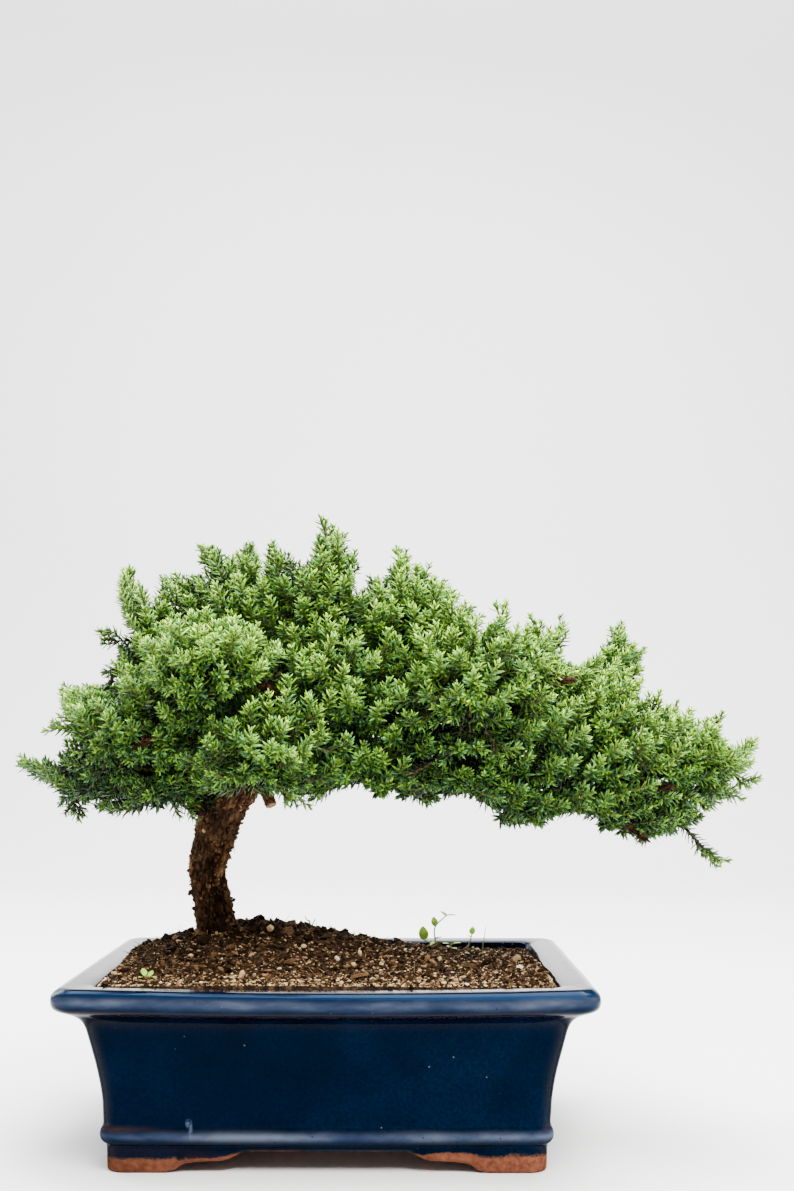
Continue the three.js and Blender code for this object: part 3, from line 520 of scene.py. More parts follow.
def dry_wood_look(name, size_mm, dark, light, bump_mm, roughness):
    """Dry wood in two shades, which are also its relief."""
    look = Look(name, Roughness=roughness, Specular_IOR_Level=0.25)
    shade = look.noise(size_mm, 4)
    look.drive("Base Color", look.ramp(shade, (0.3, dark), (0.7, light)))
    look.bump(shade, bump_mm, 0.6)
    return look.material


def stem_look():
    """The shoots' stems: reddish brown wood that turns green towards the tip."""
    look = Look("shoot_stems", Roughness=0.7, Specular_IOR_Level=0.3)
    look.drive("Base Color", look.ramp(
        look.attribute("along"), (0.0, (0.020, 0.010, 0.005)), (0.35, (0.050, 0.028, 0.010)),
        (0.6, (0.060, 0.062, 0.014)), (1.0, (0.10, 0.18, 0.02))))
    return look.material


def needle_look():
    """Awl-shaped needles: the tone runs from old and shaded to fresh and lit, and so carries painted shade
    and light, with a pale band on the upper face.
    """
    look = Look("juniper_needles", Roughness=0.45, Specular_IOR_Level=0.22)
    tone = look.attribute("tone")
    warm = look.ramp(
        tone, (0.0, (0.002, 0.006, 0.000)), (0.3, (0.007, 0.023, 0.001)), (0.55, (0.042, 0.100, 0.004)),
        (0.8, (0.142, 0.284, 0.018)), (1.0, (0.370, 0.570, 0.068)))
    cool = look.ramp(
        tone, (0.0, (0.001, 0.006, 0.002)), (0.3, (0.005, 0.023, 0.006)), (0.55, (0.030, 0.098, 0.022)),
        (0.8, (0.105, 0.272, 0.052)), (1.0, (0.280, 0.530, 0.125)))
    green = look.mix(look.attribute("cool"), warm, cool)
    # painted shade: each needle darker towards its foot by the stem, and lighter towards its tip
    along = look.ramp(look.attribute("along"), (0.0, 0.3), (0.25, 0.75), (0.7, 1.15), (1.0, 1.6))
    colour = look.times(green, along)
    pale = look.mix(1.0, look.times(colour, (1.8, 1.7, 1.8)), (0.006, 0.012, 0.007), "ADD")
    upper_face = look.maths("MULTIPLY", look.attribute("band"), 0.7)
    look.drive("Base Color", look.mix(upper_face, colour, pale))
    return look.material


def soil_look():
    look = Look("wet_bark_soil", Roughness=0.95, Specular_IOR_Level=0.05)
    look.drive("Base Color", look.ramp(
        look.noise(2.6, 6), (0.32, (0.004, 0.002, 0.001)), (0.52, (0.022, 0.011, 0.005)),
        (0.7, (0.100, 0.054, 0.026))))
    look.bump(look.noise(0.9, 5), 0.6, 1.0)
    return look.material


def crumb_look():
    """Bark chips and dark crumbs, each with its own shade."""
    look = Look("bark_crumbs", Roughness=0.88, Specular_IOR_Level=0.07)
    shade = look.ramp(
        look.attribute("tone"), (0.0, (0.005, 0.002, 0.0005)), (0.3, (0.022, 0.010, 0.003)),
        (0.55, (0.090, 0.046, 0.019)), (0.8, (0.260, 0.145, 0.068)), (1.0, (0.480, 0.300, 0.165)))
    fleck = look.ramp(look.noise(0.6, 5, 0.7), (0.3, 0.3), (0.5, 0.85), (0.7, 2.2))
    look.drive("Base Color", look.times(shade, fleck))
    look.bump(look.noise(0.5, 4), 0.35, 1.0)
    return look.material


def grit_look():
    """Pale grit: cream, tan, pinkish and white grains."""
    look = Look("pale_grit", Roughness=0.7, Specular_IOR_Level=0.4)
    shade = look.ramp(
        look.attribute("tone"), (0.0, (0.18, 0.100, 0.042)), (0.25, (0.40, 0.260, 0.105)),
        (0.5, (0.66, 0.50, 0.24)), (0.72, (0.50, 0.31, 0.16)), (0.9, (0.76, 0.65, 0.42)),
        (1.0, (0.86, 0.80, 0.64)))
    dirt = look.ramp(look.noise(0.8, 4), (0.3, (0.55, 0.45, 0.36)), (0.65, (1.05, 1.03, 1.0)))
    look.drive("Base Color", look.times(shade, dirt))
    look.bump(look.noise(0.4, 4), 0.2, 0.6)
    return look.material


def leaf_look():
    look = Look("seedling_leaf", Roughness=0.45, Specular_IOR_Level=0.4)
    shade = look.noise(1.8, 3)
    leaf = look.ramp(shade, (0.3, (0.22, 0.43, 0.022)), (0.7, (0.42, 0.62, 0.060)))
    stem = look.ramp(shade, (0.3, (0.25, 0.33, 0.10)), (0.7, (0.42, 0.46, 0.20)))
    look.drive("Base Color", look.mix(look.attribute("tone"), leaf, stem))
    look.bump(shade, 0.12, 0.5)
    return look.material


def screen_look():
    look = Look("screen_plastic", Roughness=0.5)
    shade = look.noise(3, 3)
    look.drive("Base Color", look.ramp(shade, (0.3, (0.010, 0.012, 0.014)), (0.7, (0.022, 0.024, 0.027))))
    look.bump(look.noise(0.6, 3), 0.05, 0.4)
    return look.material


# ---- Pot -----------------------------------------------------------------------------------------------

CORNER_STEPS = 12
FRONT_STEPS, SIDE_STEPS = 72, 54
RIM_SAG = 1.5                              # the handmade front rim is lower in its middle
MOULDING_SAG = 0.9
WAVES, WAVE_SIZE = 0.35, 38.0              # of the handmade walls
# Rings of the pot's skin under the floor and on the feet: inset, height over the bracket and corner radius.
UNDERSIDE_RINGS = [(inset, POT_UNDERSIDE, 1.5) for inset in (75, 68, 56, 44, FOOT_INSET + FOOT_WIDTH + 0.4)]
FOOT_RINGS = [
    (33.0, 0.7, 1.5), (32.4, 0.1, 1.5), (27, 0, 3), (22, 0, 6), (19.9, 0, POT_CORNER),
    (19.3, 0.15, POT_CORNER), (19.0, 0.6, POT_CORNER), (18.9, 1.6, POT_CORNER),
]
GLAZED_INSIDE_RINGS = 6
# Where the glaze differs: the middle height and the width of each band round the pot. LIP and MOULDING carry
# the painted sheen that stands in for reflections.
LIP, UNDER_LIP, STRIP = (65.0, 1.9), (60.6, 0.8), (67.9, 0.8)
MOULDING, OVER_MOULDING, BURNT = (14.0, 1.5), (16.4, 0.9), (6.6, 1.7)


def rounded(points, rounds=2):
    """Cuts the corners off an open outline, its ends kept."""
    line = np.asarray(points, float)
    for _ in range(rounds):
        near = 0.75 * line[:-1] + 0.25 * line[1:]
        far = 0.25 * line[:-1] + 0.75 * line[1:]
        line = np.vstack([line[:1], np.stack([near, far], 1).reshape(-1, 2), line[-1:]])
    return line


def pot_ring(inset, corner):
    """A rounded rectangle in from the rim's outer edge, counter-clockwise from the right side's middle."""
    half = POT_HALF - inset
    radius = min(corner, 0.6 * half.min())
    ring = []
    for quarter, steps in enumerate((FRONT_STEPS, SIDE_STEPS, FRONT_STEPS, SIDE_STEPS)):
        middle = np.array([(1, -1, -1, 1)[quarter], (1, 1, -1, -1)[quarter]]) * (half - radius)
        angle = (quarter + np.linspace(0, 1, CORNER_STEPS + 1)) * (math.pi / 2)
        arc = middle + radius * np.stack([np.cos(angle), np.sin(angle)], 1)
        onwards = np.array([(-1, -1, 1, 1)[quarter], (1, -1, -1, 1)[quarter]]) * (half - radius)
        next_point = onwards + radius * np.array([math.cos(angle[-1]), math.sin(angle[-1])])
        share = np.linspace(0, 1, steps + 1)[1:-1, None]
        ring += [arc, arc[-1] + share * (next_point - arc[-1])]
    return np.vstack(ring)


def ring_turn():
    """How far round its corner each point of a ring has come, from 0 to 1, and 0 on the sides."""
    corner = np.linspace(0, 1, CORNER_STEPS + 1)
    steps = (FRONT_STEPS, SIDE_STEPS) * 2
    return np.concatenate([np.concatenate([corner, np.zeros(count - 1)]) for count in steps])


def bracket_height(ring):
    """How high the feet's bracket outline leaves the pot's underside over the floor at each point."""
    foot = POT_HALF - FOOT_INSET
    from_side = foot - np.abs(ring)
    from_side[:, 1] /= SIDE_BRACKET_SCALE
    heights = np.interp(from_side, BRACKET[:, 0], BRACKET[:, 1], left=0.0)
    return heights.max(1)


def pot_rings():
    """All rings from the middle of the underside round to the middle of the floor."""
    return [
        *UNDERSIDE_RINGS, *FOOT_RINGS,
        *((inset, height, POT_CORNER) for inset, height in rounded(POT_OUTSIDE)),
        *((inset, height, POT_INNER_CORNER) for inset, height in rounded(POT_INSIDE)),
        *((inset, POT_FLOOR, POT_INNER_CORNER) for inset in (34, 50, 64, 75)),
    ]


def pot_skin(rings):
    """The skin's points, ring by ring, and how far each lies at the front, with a handmade pot's waves."""
    points = []
    for number, (inset, height, corner) in enumerate(rings):
        ring = pot_ring(inset, corner)
        level = np.full(len(ring), float(height))
        if 0 <= number - len(UNDERSIDE_RINGS) < len(FOOT_RINGS):
            level = np.minimum(height + bracket_height(ring), POT_UNDERSIDE + 0.9)
        points.append(np.column_stack([ring, level]))
    points = np.vstack(points)
    x, y, z = points.T
    middle = np.clip(1 - (x / POT_HALF[0]) ** 2, 0, 1)
    front = smooth_step(-40, -70, y)
    z -= RIM_SAG * middle * front * smooth_step(50, 64, z)
    z -= MOULDING_SAG * middle * front * smooth_step(9, 12, z) * (1 - smooth_step(18, 30, z))
    waves = WAVES * fractal(points * (1, 1, 1.5), WAVE_SIZE, 2, seed=3)[:, None]
    outwards = unit(np.column_stack([x / POT_HALF[0] ** 1.5, y / POT_HALF[1] ** 1.5, 0 * z]))
    points += waves * outwards * smooth_step(9, 14, z)[:, None] * (z < 68)[:, None]
    return points, front


def glaze_values(points, front, rings):
    """Where the glaze carries painted sheen, where it is worn or missing, and its mottle with painted light,
    for each point of the skin.
    """
    x, _, z = points.T
    number = np.repeat(np.arange(len(rings)), len(points) // len(rings))
    level = np.array([height for _, height, _ in rings])[number]
    first = len(UNDERSIDE_RINGS) + len(FOOT_RINGS) - 1
    outside = (number >= first) & (number <= first + len(rounded(POT_OUTSIDE)) + GLAZED_INSIDE_RINGS)
    in_corner = np.tile(np.abs(ring_turn() - 0.5) < 0.24, len(rings))
    worn = np.where(x < 0, 0.5 * smooth_step(-55, -85, x), 0.3 * in_corner)
    ridge = outside * (0.12 * band(level, *UNDER_LIP) + worn * band(level, *OVER_MOULDING) * front)
    burnt = 0.5 * smooth_step(-30, -60, x) * front * band(z, *BURNT)
    arch = bracket_height(points[:, :2])
    line = np.maximum(4.0 + 3.8 * smooth_step(20, 45, x), arch + 1.5 * (1 - smooth_step(5.5, 7.5, arch)))
    line += 0.5 * fractal(points, 18, 2, seed=9)
    bare = np.clip(0.5 + (line - z) / 3.0, 0, 1)
    # mottle with painted light: lighter to the right, as if lit from there, and darker higher up the wall
    mottle_and_painted_light = 0.46 + 0.0026 * x - 0.007 * (z - 35) + 0.45 * fractal(points, 26, 3, seed=5)
    return {
        # painted sheen on the lip and the moulding, standing in for reflections
        "painted_sheen": outside * np.maximum(0.78 * band(level, *LIP), band(level, *MOULDING)),
        "bare": np.where(number < len(UNDERSIDE_RINGS), 1.0, bare),
        "ridge": np.maximum(ridge, burnt),
        "strip": outside * band(level, *STRIP),
        "mottle_and_painted_light": np.clip(mottle_and_painted_light, 0, 1),
        "wall": outside * (1 - smooth_step(57, 62, level)),
    }


def pot_piece(glaze):
    """The pot as one skin: the underside, the feet, the wall, the lip, the inside and the floor."""
    rings = pot_rings()
    points, front = pot_skin(rings)
    values = glaze_values(points, front, rings)
    sides = len(points) // len(rings)
    caps = np.array([np.arange(sides)[::-1], np.arange(sides) + (len(rings) - 1) * sides])
    shape = Shape(*values)
    shape.add(points, ring_faces(len(rings), sides), caps, **values)
    drill_drains(shape.piece("glazed_pot", [glaze], ["pot"]))


def drill_drains(pot):
    for number, x in enumerate((-DRAIN_X, DRAIN_X)):
        bpy.ops.mesh.primitive_cylinder_add(
            vertices=48, radius=DRAIN_RADIUS / 1000, depth=0.04,
            location=((x + POT_MIDDLE[0]) / 1000, POT_MIDDLE[1] / 1000, POT_FLOOR / 1000))
        drill = bpy.context.object
        cut = pot.modifiers.new(f"drain_{number + 1}", "BOOLEAN")
        cut.operation = "DIFFERENCE"
        cut.solver = "EXACT"
        cut.object = drill
        bpy.context.view_layer.objects.active = pot
        bpy.ops.object.modifier_apply(modifier=cut.name)
        bpy.data.objects.remove(drill)


# ---- Soil ----------------------------------------------------------------------------------------------

SOIL_INSET = 14.9
SOIL_STEP = 0.75
COLLAR_AT = np.array(TRUNK_POINTS[1][:2], float)
COLLAR_RADIUS = 9.5
SOIL_SIDE = [(15.3, 64.6), (18.5, 57), (21, 40), (25.0, POT_FLOOR + GAP)]


def soil_height(x, y):
    width = np.where(x < SOIL_MOUND_AT[0], SOIL_MOUND_LEFT, SOIL_MOUND_RIGHT)
    away = ((x - SOIL_MOUND_AT[0]) / width) ** 2 + ((y - SOIL_MOUND_AT[1]) / SOIL_MOUND_DEPTH) ** 2
    return SOIL_EDGE + SOIL_MOUND * np.exp(-away)


def soil_relief(x, y):
    """The lumps of the soil over its plain height: coarse on the mound, and low at the back right."""
    points = np.column_stack([x, y, np.zeros(len(x))])
    mound = (soil_height(x, y) - SOIL_EDGE) / SOIL_MOUND
    lumps = (0.5 + 1.1 * mound) * fractal(points, 7, 3, seed=1) + 0.55 * fractal(points, 2.2, 3, seed=2)
    back_right = smooth_step(10, 60, x) * smooth_step(-10, 45, y)
    edge = np.minimum(POT_HALF[0] - SOIL_INSET - np.abs(x), POT_HALF[1] - SOIL_INSET - np.abs(y))
    return lumps * smooth_step(0, 3, edge) + 1.5 - 2.2 * back_right


def ground(x, y):
    return soil_height(x, y) + soil_relief(x, y)


def soil_piece(material):
    """The soil as one closed body: a fine grid on top, inside the pot's rounded wall, and plain sides."""
    half = POT_HALF - SOIL_INSET
    columns = int(2 * half[0] / SOIL_STEP)
    rows = int(2 * half[1] / SOIL_STEP)
    v = np.linspace(-half[1], half[1], rows)
    radius = POT_INNER_CORNER
    past = np.clip(np.abs(v) - (half[1] - radius), 0, radius)
    width = half[0] - radius + np.sqrt(np.maximum(radius ** 2 - past ** 2, 0.04))
    u = np.linspace(-1, 1, columns)
    x = (u[None] * width[:, None]).ravel()
    y = np.repeat(v, columns)
    top = np.column_stack([x, y, ground(x, y)])
    row, column = np.meshgrid(np.arange(rows - 1), np.arange(columns - 1), indexing="ij")
    a = (row * columns + column).ravel()
    faces = np.stack([a, a + 1, a + 1 + columns, a + columns], 1)
    border = np.concatenate([
        np.arange(columns - 1), np.arange(rows - 1) * columns + columns - 1,
        np.arange(columns - 1, 0, -1) + (rows - 1) * columns, np.arange(rows - 1, 0, -1) * columns,
    ])
    walls = []
    for inset, height in SOIL_SIDE:
        shrink = (POT_HALF - inset - GAP) / half
        walls.append(np.column_stack([top[border, :2] * shrink, np.full(len(border), height)]))
    shape = Shape()
    shape.add(np.vstack([top, *walls]), faces, *wall_faces(border, len(top), len(walls)))
    shape.piece("soil_body", [material], ["soil"])


def wall_faces(border, first, levels):
    """The faces from a border down through rings of new points, and the bottom."""
    count = len(border)
    rings = [border] + [first + level * count + np.arange(count) for level in range(levels)]
    sides = [np.stack([a, b, np.roll(b, -1), np.roll(a, -1)], 1) for a, b in zip(rings, rings[1:])]
    return [*sides, rings[-1][None, ::-1]]


ICOSAHEDRON = unit(np.array([
    (-1, 1.618, 0), (1, 1.618, 0), (-1, -1.618, 0), (1, -1.618, 0), (0, -1, 1.618), (0, 1, 1.618),
    (0, -1, -1.618), (0, 1, -1.618), (1.618, 0, -1), (1.618, 0, 1), (-1.618, 0, -1), (-1.618, 0, 1),
]))
ICOSAHEDRON_FACES = np.array([
    (0, 11, 5), (0, 5, 1), (0, 1, 7), (0, 7, 10), (0, 10, 11), (1, 5, 9), (5, 11, 4), (11, 10, 2), (10, 7, 6),
    (7, 1, 8), (3, 9, 4), (3, 4, 2), (3, 2, 6), (3, 6, 8), (3, 8, 9), (4, 9, 5), (2, 4, 11), (6, 2, 10),
    (8, 6, 7), (9, 8, 1),
])
GRAIN_POINTS = len(ICOSAHEDRON)


def grain_faces(count):
    faces = ICOSAHEDRON_FACES[None] + GRAIN_POINTS * np.arange(count)[:, None, None]
    return faces.reshape(-1, 3)


def turned(vectors, random):
    """Turns each group of vectors its own random way."""
    count = len(vectors)
    q = unit(random.normal(size=(count, 4)))
    w, x, y, z = q.T
    matrix = np.stack([
        np.stack([1 - 2 * (y * y + z * z), 2 * (x * y - z * w), 2 * (x * z + y * w)], -1),
        np.stack([2 * (x * y + z * w), 1 - 2 * (x * x + z * z), 2 * (y * z - x * w)], -1),
        np.stack([2 * (x * z - y * w), 2 * (y * z + x * w), 1 - 2 * (x * x + y * y)], -1),
    ], 1)
    return np.einsum("nij,nkj->nki", matrix, vectors)


def grains(random, places, sizes, flatness, jitter=0.22, lie_flat=0.6, slim=(0.55, 0.9)):
    """A stone or chip at each place: its points, rough and turned its own way."""
    count = len(places)
    rough = ICOSAHEDRON[None] * (1 + jitter * random.uniform(-1, 1, (count, GRAIN_POINTS, 1)))
    rough = rough + 0.5 * jitter * random.uniform(-1, 1, (count, GRAIN_POINTS, 3))
    rough = rough * np.stack([np.ones(count), random.uniform(*slim, count), flatness], 1)[:, None]
    tilted = turned(rough, random)
    tilted[:, :, 2] *= lie_flat
    return places[:, None] + tilted * sizes[:, None, None] / 2


def scatter(random, groups):
    """Places on the soil, clear of the trunk: all over it, or gathered round a middle with a spread."""
    half = POT_HALF - SOIL_INSET - 0.8
    places = []
    for count, middle, spread in groups:
        if middle is None:
            xy = random.uniform(-1, 1, (count, 2)) * half
        else:
            xy = np.clip(np.array(middle) + random.normal(size=(count, 2)) * spread, -half, half)
        xy = xy[lengths(xy - COLLAR_AT) > COLLAR_RADIUS]
        places.append(np.column_stack([xy, ground(*xy.T)]))
    return np.vstack(places)


def add_grains(shape, random, places, sizes, flatness, tones, sink=0.15, **how):
    """Gives a shape a stone or chip at each place, sunk in by a share of its size."""
    places = places + np.array([0, 0, 1.0]) * (sizes * (0.5 - sink) * 0.5)[:, None]
    bodies = grains(random, places, sizes, flatness, **how)
    shape.add(bodies, grain_faces(len(places)), smooth=False, tone=np.repeat(tones, GRAIN_POINTS))


def add_loose(shape, random, places, sizes, tone_shape, flatness, **how):
    """Grains whose tones follow a beta distribution, and whose flatness lies between two shares."""
    tones = random.beta(*tone_shape, len(places))
    add_grains(shape, random, places, sizes, random.uniform(*flatness, len(places)), tones, **how)


def add_listed(shape, random, listed, **how):
    x, y, sizes, flatness, tones = np.array(listed, float).T
    add_grains(shape, random, np.column_stack([x, y, ground(x, y)]), sizes, flatness, tones, **how)


# The larger stones and chips: x, y, size, how flat, tone.
BIG_GRIT = [
    (-27, 2, 5.0, 0.7, 0.55), (-57, -22, 2.6, 0.6, 0.5), (2, -20, 3.0, 0.6, 0.9), (11, -14, 3.4, 0.6, 0.5),
    (-33, -52, 5.4, 0.35, 0.72), (77, 6, 4.4, 0.9, 0.3), (76, -18, 3.6, 0.8, 0.95), (9, -30, 3.0, 0.6, 0.4),
    (-84, -40, 3.2, 0.6, 0.3), (35, -32, 3.0, 0.6, 0.5), (44, -8, 2.8, 0.6, 0.4), (60, -40, 2.8, 0.6, 0.9),
    (-12, -12, 3.0, 0.7, 0.45), (20, -24, 2.6, 0.7, 0.55), (-66, 4, 2.6, 0.6, 0.5), (30, 6, 2.6, 0.7, 0.85),
]
BIG_CHIPS = [
    (-52, -36, 7.0, 0.3, 0.62), (-82, -30, 6.5, 0.3, 0.7), (-38, -4, 5.5, 0.4, 0.55),
    (-66, -12, 7.0, 0.25, 0.05), (12, -46, 8.5, 0.3, 0.5), (40, -44, 7.0, 0.35, 0.4),
    (56, -20, 6.5, 0.4, 0.45), (22, -4, 6.0, 0.4, 0.6), (-16, -28, 7.0, 0.4, 0.55), (-4, 4, 6.5, 0.5, 0.3),
    (-25, 20, 7.0, 0.6, 0.15), (-14, 24, 6.5, 0.6, 0.25), (-68, 22, 5.0, 0.7, 0.2), (-42, -16, 6.5, 0.4, 0.5),
    (68, -50, 6.0, 0.35, 0.5),
]
# How many loose pieces lie all over the soil, and how many more round a place with a spread.
CHIPS = [(3300, None, None)]
CLODS = [(330, SOIL_MOUND_AT, (20, 9))]
CRUMBS = [(7200, None, None), (1800, SOIL_MOUND_AT, (26, 20))]
GRIT = [(2700, None, None), (750, (-25, -55), (48, 6)), (200, (45, -50), (30, 9))]
FIBRES = [(800, None, None), (700, SOIL_MOUND_AT, (22, 14))]
CRUMB_SEED, FIBRE_SEED = 11, 12


def crumb_pieces(crumb, grit):
    """The loose top of the soil: bark chips with clods on the mound, fine crumbs, and pale grit."""
    random = np.random.default_rng(CRUMB_SEED)
    chips = Shape("tone")
    places = scatter(random, CHIPS)
    sizes = np.minimum(random.gamma(2.0, 0.62, len(places)) + 0.9, 5.5)
    add_loose(chips, random, places, sizes, (1.3, 2.0), (0.18, 0.5), jitter=0.4, slim=(0.3, 0.7))
    add_listed(chips, random, BIG_CHIPS, jitter=0.4, slim=(0.4, 0.7))
    clods = scatter(random, CLODS)
    sizes = random.uniform(1.6, 5.0, len(clods))
    add_loose(chips, random, clods, sizes, (1.2, 4.0), (0.5, 1), jitter=0.5, lie_flat=0.9)
    chips.piece("bark_chips", [crumb])

    crumbs = Shape("tone")
    places = scatter(random, CRUMBS)
    sizes = random.uniform(0.5, 1.9, len(places))
    add_loose(crumbs, random, places, sizes, (1.3, 2.8), (0.4, 1), sink=0.1, jitter=0.35)
    crumbs.piece("soil_crumbs", [crumb])

    pale = Shape("tone")
    places = scatter(random, GRIT)
    sizes = np.minimum(random.gamma(1.5, 0.3, len(places)) + 0.4, 2.4)
    add_loose(pale, random, places, sizes, (1.4, 1.2), (0.45, 0.95), sink=-0.1, jitter=0.28)
    add_listed(pale, random, BIG_GRIT, sink=-0.2, jitter=0.12, lie_flat=0.9)
    pale.piece("pale_grit", [grit])


def fibre_piece(crumb):
    """Fine roots and slivers that lie on the soil and stick up from it."""
    random = np.random.default_rng(FIBRE_SEED)
    foot = scatter(random, FIBRES)
    count = len(foot)
    way = random.normal(size=(count, 3)) * (1, 1, 0.45)
    way[:, 2] = np.abs(way[:, 2]) * random.uniform(0, 1.4, count)
    size = random.gamma(3, 0.9, count) + 1.0
    width = random.uniform(0.16, 0.42, count)
    bend = random.uniform(-0.25, 0.3, count)
    up = np.array([0.05, 0.03, 1.0])
    bodies = blades(foot + (0, 0, 0.35), unit(way), up, size, width, 0.6 * width, bend)
    tones = np.repeat(random.beta(1.6, 1.6, count), BLADE_POINTS)
    shape = Shape("tone")
    shape.add(bodies, *blade_faces(count), tone=tones)
    shape.piece("soil_fibres", [crumb])


# ---- Wood ----------------------------------------------------------------------------------------------

BARK_STRETCH = 2.2                         # the plates' length along the wood, to their width
FLARE_FROM, FLARE_FADE = 76.0, 3.2         # the height up to which the trunk's roots show, and how they end
TRUNK_FLAKES = [(1100, (0.6, 2.2), 70), (110, (2.2, 4.2), 84)]     # how many, their length, the lowest height
TRUNK_CRUMBS = 1500
TRUNK_SEED, LIMB_SEED, STUB_SEED = 4, 5, 6
STUB_SIDES = 28
SNAG_AT_TRUNK = [(-54, -2, 132), (-58.5, -4.5, 133), (-61, -5.5, 132.5)]


def bark_relief(points_on_wood, seed):
    """The height of the bark's plates, from 0 in a crack to 1, and a value for each plate."""
    heights, plates = [], []
    for p in points_on_wood.tolist():
        distances, centres = noise.voronoi(Vector(p) + Vector((seed, seed, seed)))
        rim = min((distances[1] - distances[0]) * 2.6, 1.0)
        plate = 0.5 + 0.5 * noise.noise(centres[0] * 7.3)
        heights.append(rim * (0.35 + 0.65 * plate))
        plates.append(plate)
    return np.array(heights), np.array(plates)


def add_wood(shape, path, radii, sides, plate_size, depth, flare=0.0, seed=0.0):
    """A limb with plated bark. Gives back its skin, for flakes to grow from."""
    steps = len(path)
    points, normals, faces = tube(path, radii, sides)
    along = np.concatenate([[0], np.cumsum(lengths(np.diff(path, axis=0)))])
    angle = np.arange(sides) * (FULL_TURN / sides)
    girth = float(np.mean(radii))
    wrapped = np.stack([
        np.broadcast_to(girth * np.cos(angle), (steps, sides)),
        np.broadcast_to(girth * np.sin(angle), (steps, sides)),
        np.repeat(along[:, None] / BARK_STRETCH, sides, 1),
    ], -1).reshape(-1, 3)
    fine = fractal(wrapped, 0.8, 3, seed=seed + 2)
    bend = np.stack([fractal(wrapped, plate_size, 2, seed=axis_seed) for axis_seed in (31, 47, 53)], 1)
    bent = wrapped + 0.5 * plate_size * bend
    large, plates = bark_relief(bent / plate_size, seed)
    small, crumbs = bark_relief(bent / (0.42 * plate_size), seed + 3)
    heights = 0.6 * large + 0.4 * small
    lumps = fractal(wrapped, 2.6 * plate_size, 3, seed=seed + 5)
    lift = depth * (heights - 0.42 + 0.28 * fine + 0.75 * lumps)
    if flare:
        height = points[:, :, 2].ravel()
        ridge = 0.5 + 0.5 * np.cos(3 * np.tile(angle, steps) + 0.6)
        lift += flare * np.exp(-np.maximum(height - FLARE_FROM, 0) / FLARE_FADE) * (0.3 + ridge)
    skin = points.reshape(-1, 3) + normals.reshape(-1, 3) * lift[:, None]
    relief = np.clip(0.1 + 0.8 * heights + 0.25 * fine + 0.25 * lumps, 0, 1)
    shape.add(skin, *faces, relief=relief, plate=0.62 * plates + 0.38 * crumbs)
    return skin, normals.reshape(-1, 3), np.repeat(unit(np.gradient(path, axis=0)), sides, 0)


def wood_path(points, step):
    """Points along a limb's curve, about a step apart."""
    rough = curve_points(points, np.linspace(0, 1, 60))
    length = lengths(np.diff(rough, axis=0)).sum()
    return curve_points(points, np.linspace(0, 1, max(int(length / step), 6)))


# A blade has ten points: its foot, two sections of a right edge, a keel, a left edge and a groove, its tip.
BLADE_SECTIONS = ((0.14, 0.88), (0.66, 0.82))
BLADE_ALONG = np.array([0.0, *np.repeat([share for share, _ in BLADE_SECTIONS], 4), 1.0])
BLADE_BAND = np.array([0.5] + [0, 0, 0, 1] * 2 + [0.5])
BLADE_POINTS = len(BLADE_ALONG)
BLADE_FEET = np.array([(0, 1 + i, 1 + (i + 1) % 4) for i in range(4)])
BLADE_SIDES = np.array([(1 + i, 5 + i, 5 + (i + 1) % 4, 1 + (i + 1) % 4) for i in range(4)])
BLADE_TIPS = np.array([(5 + i, 9, 5 + (i + 1) % 4) for i in range(4)])


def blades(foot, ahead, up, length, width, thickness, bend):
    """Slim pointed blades, keeled below and grooved above, that curve up by `bend` of their length."""
    side = unit(np.cross(up, ahead))
    up = unit(np.cross(ahead, side))
    made = [foot]
    for share, breadth in BLADE_SECTIONS:
        middle = foot + ahead * (length * share)[:, None] + up * (bend * length * share ** 2)[:, None]
        reach = side * (width * breadth / 2)[:, None]
        deep = up * (thickness * breadth)[:, None]
        made += [middle + reach, middle - deep, middle - reach, middle + 0.1 * deep]
    made.append(foot + ahead * length[:, None] + up * (bend * length)[:, None])
    return np.stack(made, 1)


def blade_faces(count):
    start = BLADE_POINTS * np.arange(count)[:, None, None]
    return [(rows[None] + start).reshape(-1, rows.shape[1]) for rows in (BLADE_FEET, BLADE_SIDES, BLADE_TIPS)]


def add_flakes(shape, random, skin, normals, ahead, count, length, lowest=0.0):
    """Loose flakes of bark that stand off the wood at one end."""
    pick = random.integers(0, len(skin), count)
    pick = pick[skin[pick, 2] > lowest]
    count = len(pick)
    lift = random.uniform(0.1, 0.9, count)[:, None] ** 1.5
    along = ahead[pick] * random.choice([-1, 1], (count, 1)) + 0.35 * random.normal(size=(count, 3))
    direction = unit(unit(along) * (1 - 0.55 * lift) + normals[pick] * lift)
    size = random.uniform(*length, count)
    width = size * random.uniform(0.2, 0.5, count)
    foot = skin[pick] - normals[pick] * 0.35
    bend = random.uniform(-0.3, 0.1, count)
    bodies = blades(foot, direction, normals[pick], size, width, np.full(count, 0.28), bend)
    tone = np.repeat(random.beta(1.1, 1.9, count), BLADE_POINTS)
    shape.add(bodies, *blade_faces(count), relief=0.6, plate=tone, smooth=False)


def add_bark_crumbs(shape, random, skin, normals, count, lowest):
    """Small lumps of bark and soil that cling to the trunk."""
    pick = random.integers(0, len(skin), count)
    pick = pick[skin[pick, 2] > lowest]
    sizes = random.gamma(2.5, 0.34, len(pick)) + 0.35
    places = skin[pick] + normals[pick] * (0.12 * sizes)[:, None]
    bodies = grains(random, places, sizes, random.uniform(0.4, 1, len(pick)), jitter=0.35, lie_flat=1.0)
    tones = np.repeat(random.beta(1.3, 2.2, len(pick)), GRAIN_POINTS)
    shape.add(bodies, grain_faces(len(pick)), smooth=False, relief=0.62, plate=tones)


